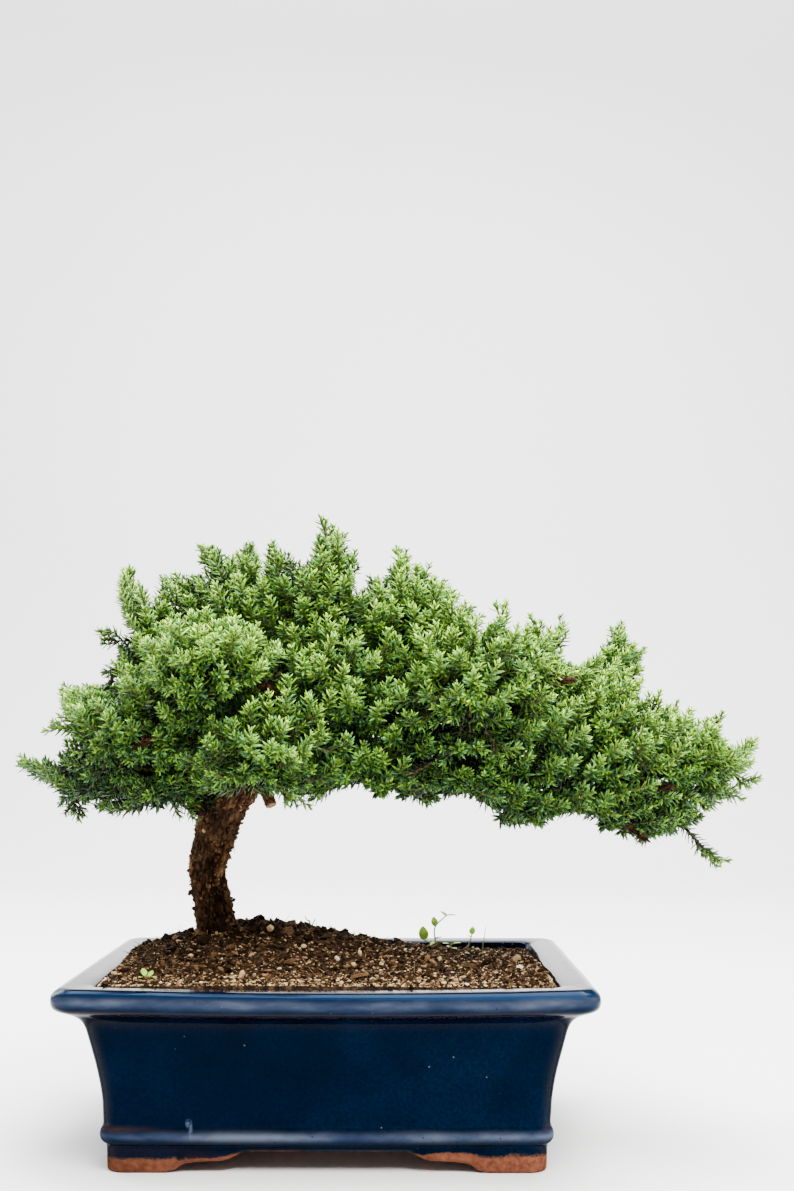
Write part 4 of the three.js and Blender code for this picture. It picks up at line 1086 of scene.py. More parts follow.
def trunk_piece(bark):
    shape = Shape("relief", "plate")
    random = np.random.default_rng(TRUNK_SEED)
    middles = np.array(TRUNK_POINTS, float)
    middles[:, 0] += BARK_SHIFT
    path = wood_path(middles, 0.5)
    radii = np.interp(np.linspace(0, 1, len(path)), np.linspace(0, 1, len(BARK_RADII)), BARK_RADII)
    skin = add_wood(shape, path, radii, 140, 2.9, 1.5, flare=2.0, seed=1)
    for count, length, lowest in TRUNK_FLAKES:
        add_flakes(shape, random, *skin, count, length, lowest)
    add_bark_crumbs(shape, random, *skin[:2], TRUNK_CRUMBS, lowest=72)
    add_snag(shape, random)
    shape.piece("trunk", [bark], ["tree"])


def darken_bark(shape, share):
    """Darkens the last wood added and its flakes."""
    shape.values["plate"][-2:] = [plate * share for plate in shape.values["plate"][-2:]]


def add_snag(shape, random):
    """The black broken snag at the top left of the trunk: jagged splinters round a short stump."""
    path = wood_path(SNAG_AT_TRUNK, 0.5)
    skin = add_wood(shape, path, np.linspace(4.2, 2.4, len(path)), 30, 1.4, 0.9, seed=21)
    add_flakes(shape, random, *skin, 90, (1.2, 4.4))
    darken_bark(shape, 0.25)


def limb_piece(bark, sprays):
    """The limbs, the dead ends that grow from the nearest wood, and a twig to the foot of each spray."""
    shape = Shape("relief", "plate")
    random = np.random.default_rng(LIMB_SEED)
    for number, (points, (thick, slim)) in enumerate(LIMBS):
        path = wood_path(points, 0.9)
        radii = np.linspace(thick, slim, len(path))
        skin = add_wood(shape, path, radii, 20, 1.9, 0.6, seed=10 + number)
        add_flakes(shape, random, *skin, int(2.2 * len(path)), (0.9, 2.6))
    wood = wood_points()
    for number, points in enumerate(SNAGS):
        root = wood[np.argmin(lengths(wood - points[0]))]
        path = wood_path([root, *points], 0.6)
        skin = add_wood(shape, path, np.linspace(1.7, 1.1, len(path)), 16, 1.3, 0.5, seed=50 + number)
        add_flakes(shape, random, *skin, 50, (1.0, 3.4))
        darken_bark(shape, 0.45)
    for spray in sprays:
        path = np.linspace(spray["root"], spray["base"], 12)
        path += 0.25 * random.normal(size=path.shape)
        add_wood(shape, path, TWIG_RADIUS, 9, 1.4, 0.3, seed=40)
    shape.piece("limbs_and_twigs", [bark])


def stub_piece(bark, cut_wood):
    """The sawn stub that hangs to the right of the trunk, with its pale cut face."""
    shape = Shape("relief", "plate")
    random = np.random.default_rng(STUB_SEED)
    points, (thick, slim) = STUB
    path = wood_path(points, 0.5)
    skin = add_wood(shape, path, np.linspace(thick, slim, len(path)), 36, 1.5, 0.55, seed=33)
    add_flakes(shape, random, *skin, 70, (0.8, 2.2))
    ahead = unit(path[-1] - path[-2])
    turn = np.linspace(0, FULL_TURN, STUB_SIDES, endpoint=False)
    rings = [path[-1] + ahead * 0.35]
    for share in (0.35, 0.7, 0.97):
        rough = share * slim * (1 + 0.05 * random.normal(size=(STUB_SIDES, 1)))
        spot = path[-1] + rough * around(ahead, turn)
        rings.append(spot + ahead * (0.35 + 0.1 * random.normal(size=(STUB_SIDES, 1)) * share))
    side = np.arange(STUB_SIDES)
    middle = np.stack([0 * side, 1 + side, 1 + (side + 1) % STUB_SIDES], 1)
    shape.add(np.vstack(rings), middle, 1 + ring_faces(3, STUB_SIDES)[:, ::-1], look=1)
    shape.piece("cut_stub", [bark, cut_wood])


# ---- Where the sprays and shoots grow ------------------------------------------------------------------

def share_inside(centres, index, start, end):
    """How much of the way from start to end lies nearer to its own centre than to the others."""
    others = np.delete(centres, index, 0)
    own = centres[index]
    normals = unit(others - own)
    depth = ((own + others) / 2 * normals).sum(1) - GAP / 2 - normals @ start
    climb = normals @ (end - start)
    return float(np.clip(np.min(np.where(climb > 0, depth / np.maximum(climb, 1e-9), 1.0)), 0, 1))


def wood_points():
    """Points along the outer part of the trunk and the limbs, which sprays and twigs grow from."""
    return np.vstack([
        curve_points(points, np.arange(8, 21) / 20) for points in (TRUNK_POINTS, *[limb for limb, _ in LIMBS])
    ])


def lay_out_sprays():
    """One spray for each part of a pad, with its hub, the point that its shoots grow from."""
    wood = wood_points()
    hubs = []
    for at, reach, count in PADS:
        for part in range(count):
            angle = (part + 0.25) * (FULL_TURN / count)
            out = SPRAY_OUT if count > 1 else 0
            hubs.append(np.array(at) + out * np.array(reach) * (math.cos(angle), math.sin(angle), 0))
    hubs = np.array(hubs)
    sprays = []
    for index, hub in enumerate(hubs):
        root = wood[np.argmin(lengths(wood - hub))]
        back = hub + (root - hub) * min(SPRAY_AXIS / np.linalg.norm(root - hub), 0.7)
        base = hub + (back - hub) * 0.95 * share_inside(hubs, index, hub, back)
        sprays.append({"hub": hub, "root": root, "base": base})
    return sprays


AREA_POWER = 1.6                           # in the usual estimate of an ellipsoid's area
GOLDEN_ANGLE = math.pi * (3 - math.sqrt(5))


def pad_points(pad, spacing, random):
    """Points spread evenly over a pad, in a spiral."""
    at, reach, _ = pad
    rx, ry, rz = reach
    powers = (rx * ry) ** AREA_POWER + (rx * rz) ** AREA_POWER + (ry * rz) ** AREA_POWER
    area = 4 * math.pi * (powers / 3) ** (1 / AREA_POWER)
    count = math.floor(area / spacing ** 2 + 0.5)
    for i in range(count):
        up = 1 - (2 * i + 1) / count
        angle = GOLDEN_ANGLE * i + 0.5 * random()
        level = math.sqrt(1 - up * up)
        size = 0.95 + 0.12 * random()
        yield np.array(at) + size * np.array(reach) * (level * math.cos(angle), level * math.sin(angle), up)


def depth_in_pads(point, skip=None):
    """How deep a point lies in the nearest of the other pads, from 0 in its middle to 1 on its skin."""
    pads = [pad for pad in PADS if pad is not skip]
    at = np.array([pad[0] for pad in pads], float)
    reach = np.array([pad[1] for pad in pads], float)
    return lengths((point - at) / reach).min()


def leader_tips():
    """The tips that the solids have too: the single leaders, then a few over each pad."""
    random = random_from(LAYOUT_SEED)
    tips = [np.array(tip, float) for tip in LEADERS]
    for pad in PADS:
        for tip in pad_points(pad, LEADER_SPACING, random):
            crowded = lengths(np.array(tips) - tip).min() < 0.6 * LEADER_SPACING
            if not crowded and depth_in_pads(tip, pad) >= 0.8:
                tips.append(tip)
    return tips


def lay_out_leaders(sprays):
    """The leading shoots as curves of three points, each with the spray that it belongs to."""
    hubs = np.array([spray["hub"] for spray in sprays])
    leaders = []
    for tip in leader_tips():
        owner = int(np.argmin(lengths(hubs - tip)))
        if np.linalg.norm(hubs[owner] - tip) > SHORTEST_LEADER:
            leaders.append((owner, tip))
    for owner, spray in enumerate(sprays):
        if all(owner != other for other, _ in leaders):
            ahead = spray["hub"] + LEADING_SHOOT * unit(spray["hub"] - spray["base"])
            share = 0.95 * share_inside(hubs, owner, spray["hub"], ahead)
            leaders.append((owner, spray["hub"] + share * (ahead - spray["hub"])))
    return [leader_curve(sprays[owner], owner, tip) for owner, tip in leaders]


def leader_curve(spray, owner, tip):
    """A shoot from the spray's axis to its tip, which sags a little on the way."""
    axis = spray["hub"] - spray["base"]
    reach = np.linalg.norm(axis)
    axis = axis / reach
    ahead = (tip - spray["base"]) @ axis
    aside = math.sqrt(max(((tip - spray["base"]) ** 2).sum() - ahead ** 2, 0))
    root = spray["base"] + axis * max(1.5, min(reach - 1, ahead - FORK * aside))
    middle = (root + tip) / 2
    middle[2] -= 0.08 * np.linalg.norm(tip - root)
    return owner, root, middle, tip


# ---- Foliage -------------------------------------------------------------------------------------------

# Layers of shoots: how far apart their tips are, how far out of the canopy's skin they lie, from and to,
# and how fresh and lit the shoots are: inner shoots are older, and are also painted darker as shade.
LAYERS = [(7.0, -2.5, 0.5, 1.0), (7.6, -10.5, -6.0, 0.6), (8.0, -19.0, -13.0, 0.3), (9.0, -29.0, -24.0, 0.1)]
LUMP_SIZE, LUMP_DEPTH = 26.0, 12.0         # the hollows between the canopy's clumps
# Small clumps that only the shoots fill: the spires, and the hollows between pads. Middle and reach.
CLUMPS = [
    ((-2, 0, 243), (13, 12, 20)), ((-28, 12, 240), (11, 10, 14)), ((-52, 16, 236), (12, 10, 14)),
    ((-88, 8, 226), (13, 10, 15)), ((131, 57, 206), (16, 12, 18)), ((29, 4, 234), (14, 14, 14)),
    ((-112, 20, 178), (14, 12, 12)), ((-122, 0, 150), (16, 14, 10)), ((17, 0, 165), (18, 20, 13)),
    ((48, -4, 163), (16, 18, 12)), ((83, 0, 156), (18, 22, 13)), ((131, 2, 144), (18, 16, 11)),
    ((-84, 0, 152), (16, 16, 10)), ((96, 6, 150), (15, 20, 10)), ((66, 4, 164), (15, 20, 11)),
]
# The canopy's outline as seen from the front, in the plane of the pot's middle: x and z, from the left tip
# over the crown to the right end, and back along the lower edge.
OUTLINE = np.array([
    (-134, 153), (-123, 155), (-119, 159), (-110, 157), (-116, 169), (-121, 182), (-110, 186), (-97, 185),
    (-93, 189), (-99, 194), (-95, 202), (-86, 209), (-93, 212), (-97, 236), (-88, 234), (-78, 221),
    (-77, 232), (-70, 231), (-60, 234), (-55, 238), (-61, 245), (-52, 246), (-45, 242), (-39, 248),
    (-34, 244), (-24, 250), (-20, 243), (-16, 235), (-11, 247), (-5, 258), (2, 255), (6, 243), (12, 237),
    (10, 228), (20, 236), (25, 242), (33, 243), (42, 234), (53, 226), (64, 215), (72, 220), (76, 209),
    (84, 214), (88, 207), (98, 212), (99, 197), (104, 193), (113, 201), (119, 208), (125, 213), (130, 205),
    (134, 188), (131, 182), (138, 177), (159, 175), (166, 168), (172, 158), (181, 162), (180, 145),
    (174, 134), (163, 135), (157, 128), (150, 122), (127, 117), (112, 130), (101, 131), (84, 122), (74, 126),
    (66, 134), (55, 138), (45, 139), (17, 139), (8, 145), (-5, 136), (-17, 131), (-25, 132), (-29, 138),
    (-34, 142), (-48, 140), (-57, 137), (-70, 136), (-87, 131), (-102, 130), (-108, 135), (-117, 136),
    (-128, 147),
], float)
EDGE_CLEARANCE = 1.7                       # from the outline to the nearest tips
UPRIGHT = np.array((1, 1, 0.55))           # shoots stand up, so their tips lie further apart upwards
PADS_MELT = 11.0                           # how far the pads run together
TIP_TRIALS = (6, 100000)                   # rounds of random places tried for tips, and places in each
PAST_PADS = 6                              # how far the places reach past the pads
# How much the shoots grow outwards, up and away from the trunk, drift together and stray on their own.
OUTWARDS, UPWARDS, AWAY, DRIFT, STRAY = 0.36, 0.85, 0.75, 0.5, 0.10
DRIFT_SIZE = 30.0                          # of a patch of shoots that drift together
SHOOT_END = 24.0                           # length of a shoot's end that runs straight
SHOOT_REACH = (8.0, 16.0)                  # the least reach of a shoot, and how much more a fresh one has
TOWARDS_SKY = np.array((0.32, -0.12, 0.94)) * 17     # the way towards the lamps: tips open that way get painted light
CANOPY_FOOT, CANOPY_TALL = 125, 110        # its lowest tips, and how much higher the needles get the most painted light from above
NEEDLE_LENGTH = 4.8
NEEDLE_WIDTH = 1.3
NEEDLE_THICKNESS = 0.34                    # to the width
NEEDLE_LEAN, NEEDLE_SPREAD = 0.80, 0.24    # radians from the shoot at its tip, and how much more further down
WHORL_STEP = 1.4                           # between whorls of three needles
INNER_WHORL_STEP = 2.1                     # the same on shaded shoots
NEEDLED = (22.0, 32.0)                     # length of shoot that holds needles
NEEDLE_TONE, BUD_TONE = (0.23, 0.47), (0.37, 0.52)   # without vigour and painted light, and how much more with full vigour and light
TONE_STRAY = 0.09                          # how much needles side by side differ in tone
TONE_STEPS = 11                            # steps of tone in the needles' colour map
MAP_COLUMNS = 2 * TONE_STEPS + 1           # warm tones, cool tones and the stems
STEM_RINGS, STEM_SIDES = 6, 5
FOLIAGE_SEED = 100
FORK_SHARES = np.linspace(0.05, 0.92, 14)      # where on a leader a shoot can grow
LEADER_FORKS = (0.9, 0.78, 0.66, 0.54, 0.4)    # where side shoots leave a leader, from its root to its tip
SHOOT_FORKS = (0.74, 0.56, 0.38, 0.2)
BUD_NEEDLES = 6


def bezier(root, middle, tip, share):
    share = share[..., None]
    return (1 - share) ** 2 * root + 2 * share * (1 - share) * middle + share ** 2 * tip


def bezier_ahead(root, middle, tip, share):
    share = share[..., None]
    return unit((1 - share) * (middle - root) + share * (tip - middle))


def outside_canopy(points):
    """How many millimetres out of the canopy's skin the points lie, with the pads melted together."""
    middles, reaches = (np.array([part[i] for part in (*PADS, *CLUMPS)], float) for i in (0, 1))
    away = points[:, None] - middles
    depth = lengths(away / reaches)
    out = lengths(away) * (1 - 1 / np.maximum(depth, 1e-6))
    return -PADS_MELT * np.log(np.exp(-out / PADS_MELT).sum(1))


def growth_ways(tips, random):
    """The way that each shoot points at its tip: they stand up together, and hang out under the canopy."""
    outside = outwards(tips)
    up = UPWARDS * (1 - 0.9 * np.maximum(-outside[:, 2:], 0)) * (0, 0, 1)
    spread = (tips - TRUNK_POINTS[-2]) * (1, 1, 0)
    away = unit(spread) * smooth_step(0, 150, np.linalg.norm(spread, axis=1, keepdims=True))
    drift = np.stack([fractal(tips, DRIFT_SIZE, 2, seed=seed) for seed in (61, 67, 71)], 1)
    stray = random.normal(size=tips.shape)
    return unit(OUTWARDS * outside + up + AWAY * away + DRIFT * drift + STRAY * stray)


def inside_outline(points):
    """Which of the points a viewer in front sees well inside the canopy's outline."""
    depth = -CAMERA_AT[1] / (points[:, 1] - CAMERA_AT[1])
    x, z = (CAMERA_AT[i] + (points[:, i] - CAMERA_AT[i]) * depth for i in (0, 2))
    inside = np.zeros(len(points), bool)
    nearest = np.full(len(points), math.inf)
    for a, b in zip(OUTLINE, np.roll(OUTLINE, -1, 0)):
        edge = b - a
        if edge[1]:
            inside ^= ((a[1] > z) != (b[1] > z)) & (x < a[0] + (z - a[1]) * edge[0] / edge[1])
        share = np.clip(((x - a[0]) * edge[0] + (z - a[1]) * edge[1]) / (edge @ edge), 0, 1)
        nearest = np.minimum(nearest, np.hypot(x - a[0] - share * edge[0], z - a[1] - share * edge[1]))
    return inside & (nearest > EDGE_CLEARANCE)


def outwards(points):
    """The way out of the canopy at each point."""
    slopes = [outside_canopy(points + step) - outside_canopy(points - step) for step in np.eye(3)]
    return unit(np.stack(slopes, 1))


def spread_tips(random, taken):
    """The tips of all further shoots, and how fresh and lit each is, layer by layer from the skin inwards."""
    low = np.min([np.subtract(at, reach) for at, reach, _ in PADS], axis=0) - PAST_PADS
    high = np.max([np.add(at, reach) for at, reach, _ in PADS], axis=0) + PAST_PADS
    rounds, each = TIP_TRIALS
    spots = [random.uniform(low, high, (each, 3)) for _ in range(rounds)]
    out = np.concatenate([outside_canopy(some) for some in spots])
    spots = np.vstack(spots)
    near = (out > LAYERS[-1][1]) & (out < LAYERS[0][2])
    spots, out = spots[near], out[near]
    clear = inside_outline(spots)
    spots, out = spots[clear], out[clear]
    out += LUMP_DEPTH * np.maximum(fractal(spots, LUMP_SIZE, 2, seed=83), 0)
    tips, count, fresh_and_lit = np.empty((len(spots), 3)), len(taken), []
    tips[:count] = taken
    # inner layers, older and in shade, get lower values: their needles are painted darker
    for apart, inner, outer, layer_fresh_and_lit in LAYERS:
        for spot in spots[(out > inner) & (out < outer)]:
            if np.square((tips[:count] - spot) * UPRIGHT).sum(1).min() > apart * apart:
                tips[count] = spot
                count += 1
                fresh_and_lit.append(layer_fresh_and_lit)
    return tips[len(taken):count], np.array(fresh_and_lit)


def grow_shoots(sprays, leaders):
    """Every needled shoot: its spray, its curve's three points and how fresh and lit it is, from 0 to 1."""
    random = np.random.default_rng(LAYOUT_SEED)
    hubs = np.array([spray["hub"] for spray in sprays])
    owners = np.array([leader[0] for leader in leaders])
    roots, middles, ends = (np.array([leader[i] for leader in leaders]) for i in (1, 2, 3))
    shares = np.broadcast_to(FORK_SHARES, (len(ends), len(FORK_SHARES)))
    samples = bezier(roots[:, None], middles[:, None], ends[:, None], shares)
    ahead = bezier_ahead(roots[:, None], middles[:, None], ends[:, None], shares)
    tips, fresh_and_lit = spread_tips(random, ends)
    ways = growth_ways(tips, random)
    made_owners, made_roots = [], []
    for tip, way, least in zip(tips, ways, SHOOT_REACH[0] + SHOOT_REACH[1] * fresh_and_lit):
        owner = int(np.argmin(lengths(hubs - tip)))
        own = owners == owner
        made_owners.append(owner)
        made_roots.append(best_root(tip, way, least, samples[own], ahead[own]))
    made_roots = np.array(made_roots)
    reach = lengths(tips - made_roots)
    made_middles = tips - ways * np.minimum(0.7 * reach, SHOOT_END)[:, None]
    leading = (owners, roots, middles, ends, np.ones(len(ends)))
    return join_shoots(leading, (np.array(made_owners), made_roots, made_middles, tips, fresh_and_lit), random)


def best_root(tip, way, least, places, ahead):
    """The place on a leader from which a shoot gets to its tip by the shortest and straightest way."""
    away = tip - places
    distance = lengths(away)
    towards = away / distance[..., None]
    lean = np.maximum(0.5 - (towards * ahead).sum(2), 0) + np.maximum(0.6 - towards @ way, 0)
    cost = distance * (1 + 1.3 * lean) + 3 * np.maximum(least - distance, 0)
    return places[np.unravel_index(np.argmin(cost), cost.shape)]


def join_shoots(leading, following, random):
    """Puts the shoots of both groups together with the side shoots that fork off them."""
    sides = [side_shoots(leading, random, place, False) for place in LEADER_FORKS]
    sides += [side_shoots(following, random, place, True) for place in SHOOT_FORKS]
    return [np.concatenate(column) for column in zip(leading, following, *sides)]


def side_shoots(main, random, share, trimmed):
    """One short shoot that forks off each of the others. If trimmed, none sticks out of the canopy."""
    owners, roots, middles, tips, fresh_and_lit = main
    count = len(tips)
    whole = lengths(tips - roots)
    shares = np.clip(share + random.uniform(-0.07, 0.07, count), 0, 0.95)
    start = bezier(roots, middles, tips, shares)
    ahead = bezier_ahead(roots, middles, tips, shares)
    out = around(ahead, random.uniform(0, FULL_TURN, count))
    way = unit(leaned(ahead, out, random.uniform(0.45, 0.65, count)) + (0, 0, 0.25))
    from_tip = (1 - shares) * whole
    reach = (random.uniform(0.85, 1.1, count) * np.clip(4.0 + 0.5 * from_tip, 5.5, 9.5))[:, None]
    end = start + reach * way
    bend = start + 0.5 * reach * unit(way + 0.6 * out)
    keep = whole > 10
    if trimmed:
        keep &= inside_outline(end) & (outside_canopy(end) < 0) & (random.uniform(size=count) < 0.85)
    return [rows[keep] for rows in (owners, start, bend, end, 0.9 * fresh_and_lit)]


def stem_geometry(roots, middles, tips, radii):
    """Slim tubes, one for each shoot, all made together: points, faces and the faces' places in the map."""
    count = len(roots)
    shares = np.broadcast_to(np.linspace(0, 0.97, STEM_RINGS), (count, STEM_RINGS))
    path = bezier(roots[:, None], middles[:, None], tips[:, None], shares)
    ahead = bezier_ahead(roots[:, None], middles[:, None], tips[:, None], shares)
    out = around(ahead[:, :, None], np.arange(STEM_SIDES) * (FULL_TURN / STEM_SIDES))
    width = radii[:, None] * np.linspace(1, 0.42, STEM_RINGS)
    points = path[:, :, None] + out * width[:, :, None, None]
    start = STEM_RINGS * STEM_SIDES * np.arange(count)[:, None, None]
    quads = ring_faces(STEM_RINGS, STEM_SIDES)
    faces = (quads[None] + start).reshape(-1, 4)
    ring = quads // STEM_SIDES
    right = np.broadcast_to([0.1, 0.9, 0.9, 0.1], ring.shape)
    uvs = np.stack([column_u(2 * TONE_STEPS, right), map_v(ring / (STEM_RINGS - 1))], -1)
    return points.reshape(-1, 3), faces, np.tile(uvs, (count, 1, 1))


def column_u(column, offset):
    """How far across the colour map a column lies, at an offset within it."""
    return (column + offset) / MAP_COLUMNS


def map_v(along):
    return 0.03 + 0.94 * along


def needles_of(random, roots, middles, tips, vigour_and_painted_light, step):
    """All the needles of some shoots: the blades' points, and a tone for each blade."""
    length = lengths(tips - roots) * 1.02
    covered = np.minimum(length - 1.2, random.uniform(*NEEDLED, len(length)))
    whorls = np.maximum((covered / step).astype(int), 2)
    shoot = np.repeat(np.arange(len(length)), whorls)
    order = np.arange(len(shoot)) - np.repeat(np.cumsum(whorls) - whorls, whorls)
    from_tip = (order + 0.2) * step
    share = 1 - from_tip / length[shoot]
    foot = bezier(roots[shoot], middles[shoot], tips[shoot], share)
    ahead = bezier_ahead(roots[shoot], middles[shoot], tips[shoot], share)
    phase = random.uniform(0, FULL_TURN, len(length))[shoot] + order * (math.pi / 3)
    parts = [
        needle_ring(random, foot, ahead, phase + third * FULL_TURN / 3, from_tip, vigour_and_painted_light[shoot])
        for third in range(3)
    ]
    parts += needle_bud(random, tips, unit(tips - middles), vigour_and_painted_light)
    bodies, tones = zip(*parts)
    return np.vstack(bodies), np.concatenate(tones)


def needle_ring(random, foot, ahead, angle, from_tip, vigour_and_painted_light):
    """One needle at each place: steep and short near the tip, standing out further down."""
    count = len(foot)
    out = around(ahead, angle + random.normal(0, 0.14, count))
    lean = NEEDLE_LEAN + NEEDLE_SPREAD * smooth_step(0, 4.0, from_tip) + random.normal(0, 0.09, count)
    way = unit(leaned(ahead, out, lean))
    inside = unit(square_part(ahead, way))
    near = smooth_step(0, 4.5, from_tip)
    size = NEEDLE_LENGTH * (0.55 + 0.45 * near) * random.uniform(0.88, 1.12, count)
    width = NEEDLE_WIDTH * (0.8 + 0.2 * near) * random.uniform(0.85, 1.12, count)
    tone = NEEDLE_TONE[0] + NEEDLE_TONE[1] * vigour_and_painted_light + 0.16 * (1 - near) - 0.22 * smooth_step(4, 17, from_tip)
    bend = random.uniform(0.04, 0.16, count)
    bodies = blades(foot, way, inside, size, width, width * NEEDLE_THICKNESS, bend)
    return bodies, tone + random.normal(0, TONE_STRAY, count)


def needle_bud(random, tips, ahead, vigour_and_painted_light):
    """The tuft of small fresh needles that closes each shoot."""
    count = len(tips)
    made = []
    for number in range(BUD_NEEDLES):
        out = around(ahead, number * 2.4 + random.uniform(0, 0.6, count))
        way = unit(leaned(ahead, out, random.uniform(0.2, 0.85, count)))
        inside = unit(square_part(ahead, way) + 1e-3 * out)
        size = random.uniform(1.5, 2.3, count)
        tone = BUD_TONE[0] + BUD_TONE[1] * vigour_and_painted_light + random.normal(0, TONE_STRAY, count)
        bodies = blades(tips - ahead * 0.9, way, inside, size, size * 0.36, size * 0.11, np.full(count, 0.12))
        made.append((bodies, tone))
    return made


RIGHT, KEEL, LEFT, GROOVE = range(4)
# How far across its column each of a blade's lines lies, on its underside and on its upper side.
UNDER = {RIGHT: 0.06, KEEL: 0.44, LEFT: 0.06, None: 0.25}
ABOVE = {RIGHT: 0.56, GROOVE: 0.94, LEFT: 0.56, None: 0.75}


def blade_uvs(columns):
    """Where each face of the needles lies in its needle's column of the map."""
    uvs = []
    for faces in (BLADE_FEET, BLADE_SIDES, BLADE_TIPS):
        lines = [[None if point in (0, 9) else (point - 1) % 4 for point in face] for face in faces.tolist()]
        offsets = np.array([[(ABOVE if GROOVE in row else UNDER)[line] for line in row] for row in lines])
        u = column_u(columns[:, None, None], offsets[None])
        v = np.broadcast_to(map_v(BLADE_ALONG[faces]), u.shape)
        uvs.append(np.stack([u, v], -1))
    return uvs


def shoot_vigour_and_painted_light(tips, fresh_and_lit):
    """How bright each shoot's needles are, as painted light: brighter high up, where they lie open towards
    the lamps and at the canopy's right end, on top of how fresh and lit the shoot is.
    """
    # painted light from above, from the right, and where the way towards the lamps is open
    height = np.clip((tips[:, 2] - CANOPY_FOOT) / CANOPY_TALL, 0, 1)
    openness = smooth_step(-12, 12, outside_canopy(tips + TOWARDS_SKY))
    far_right = smooth_step(95, 150, tips[:, 0])
    return fresh_and_lit * (0.33 + 0.5 * openness + 0.25 * height + 0.1 * far_right)


def foliage_pieces(materials, sprays, leaders):
    """One piece for each spray: its needles, its shoots' stems and the axis that they grow from."""
    owners, roots, middles, tips, fresh_and_lit = grow_shoots(sprays, leaders)
    vigour_and_painted_light = shoot_vigour_and_painted_light(tips, fresh_and_lit)
    for index, spray in enumerate(sprays):
        random = np.random.default_rng(FOLIAGE_SEED + index)
        shape = Shape("tone", "cool", "along", "band")
        own = owners == index
        for inner, step in ((True, INNER_WHORL_STEP), (False, WHORL_STEP)):
            some = own & ((fresh_and_lit < 0.5) == inner)
            if some.any():
                add_needles(shape, random, roots[some], middles[some], tips[some], vigour_and_painted_light[some], step)
        radii = 0.36 + 0.02 * np.minimum(lengths(tips[own] - roots[own]), 30)
        points, faces, uvs = stem_geometry(roots[own], middles[own], tips[own], radii)
        along = np.tile(np.repeat(np.linspace(0, 1, STEM_RINGS), STEM_SIDES), own.sum())
        shape.add(points, faces, look=1, uvs=[uvs], along=along)
        base, hub = spray["base"][None], spray["hub"][None]
        points, faces, uvs = stem_geometry(base, (base + hub) / 2, hub, np.array([SPRAY_AXIS_RADIUS]))
        shape.add(points, faces, look=1, uvs=[uvs], along=along[:len(points)])
        shape.piece(f"foliage_{index + 1:02d}", materials, [f"spray_{index + 1:02d}"])


def add_needles(shape, random, roots, middles, tips, vigour_and_painted_light, step):
    """Adds the needles, their tones in steps so that those of one step share their part of the map."""
    points, tones = needles_of(random, roots, middles, tips, vigour_and_painted_light, step)
    level = np.clip((tones * TONE_STEPS).astype(int), 0, TONE_STEPS - 1)
    cool = random.uniform(size=len(level)) < 0.65 - 0.6 * tones
    shape.add(
        points, *blade_faces(len(points)), uvs=blade_uvs(level + TONE_STEPS * cool),
        tone=np.repeat((level + 0.5) / TONE_STEPS, BLADE_POINTS), cool=np.repeat(cool, BLADE_POINTS),
        along=np.tile(BLADE_ALONG, len(points)), band=np.tile(BLADE_BAND, len(points)))


# ---- Seedlings and dead twigs --------------------------------------------------------------------------

LEAF_STATIONS, LEAF_DROOP = 9, 0.12
LEAF_RING = np.array([0, 1, 2, 3, 4, 9, 8, 7, 6, 5])    # round a section: the upper side, then the lower side
# Each seedling: its piece, the node that it stands for, its stems and its leaves. A stem has its points, the
# radius at both ends and how much it has the stems' colour. A leaf has its foot, its tip and its width.
SEEDLINGS = [
    ("seedling_with_leaves", "seedling_tall", [
        ([(44, 48, 60), (44, 48, 69), (43.6, 47.6, 77), (49, 47, 82.6)], (0.42, 0.28), 1.0),
        ([(43.9, 48, 70), (40.4, 48, 70.6), (38.6, 48, 71.8)], (0.34, 0.26), 1.0),
    ], [
        ((38.6, 48, 71.2), (38.2, 50, 77.6), 4.6), ((43.6, 47.6, 77.4), (43.1, 49.4, 81.8), 3.2),
        ((48.4, 47.2, 82.4), (53.2, 46.4, 83.2), 3.0), ((48.6, 47.2, 82.2), (46.4, 48.8, 84.4), 2.6),
        ((43.8, 47.8, 72), (46.6, 45.4, 73.6), 2.8), ((43.8, 47.8, 70.6), (41.2, 45.6, 69.6), 2.4),
    ]),
    ("seedling_low_leaves", "seedling_low", [
        ([(51, 50, 60), (51, 49, 66), (51, 48, 69.6)], (0.4, 0.3), 1.0),
        ([(58, 50, 60), (58.8, 48.6, 68), (60.4, 48, 74)], (0.34, 0.25), 1.0),
        ([(64.4, 44, 60), (65, 43.6, 68), (66.4, 43, 78)], (0.34, 0.14), 0.7),
    ], [
        ((51, 48, 69.4), (55.2, 46.4, 70.8), 3.2), ((51, 48, 69.2), (47.2, 46.6, 70.6), 3.0),
        ((51, 48.4, 67.6), (53.6, 46, 68), 2.6), ((60.4, 48, 73.8), (60.9, 50, 77.4), 2.8),
        ((60.2, 48, 72.8), (58.2, 46.4, 73.8), 1.8),
    ]),
    ("seedling_at_front", "seedling_front", [
        ([(-70.6, -44, 60), (-70.4, -44, 67), (-70.4, -44.2, 69.8)], (0.4, 0.3), 1.0),
    ], [
        ((-71.4, -44.2, 69.4), (-72.6, -41.8, 72.4), 2.5), ((-69.6, -44.4, 69.2), (-68.8, -42.2, 71.4), 2.2),
        ((-68.8, -45, 69), (-66.8, -48.4, 70), 2.8), ((-71.4, -45, 69), (-73.2, -47.6, 69.8), 2.2),
    ]),
]
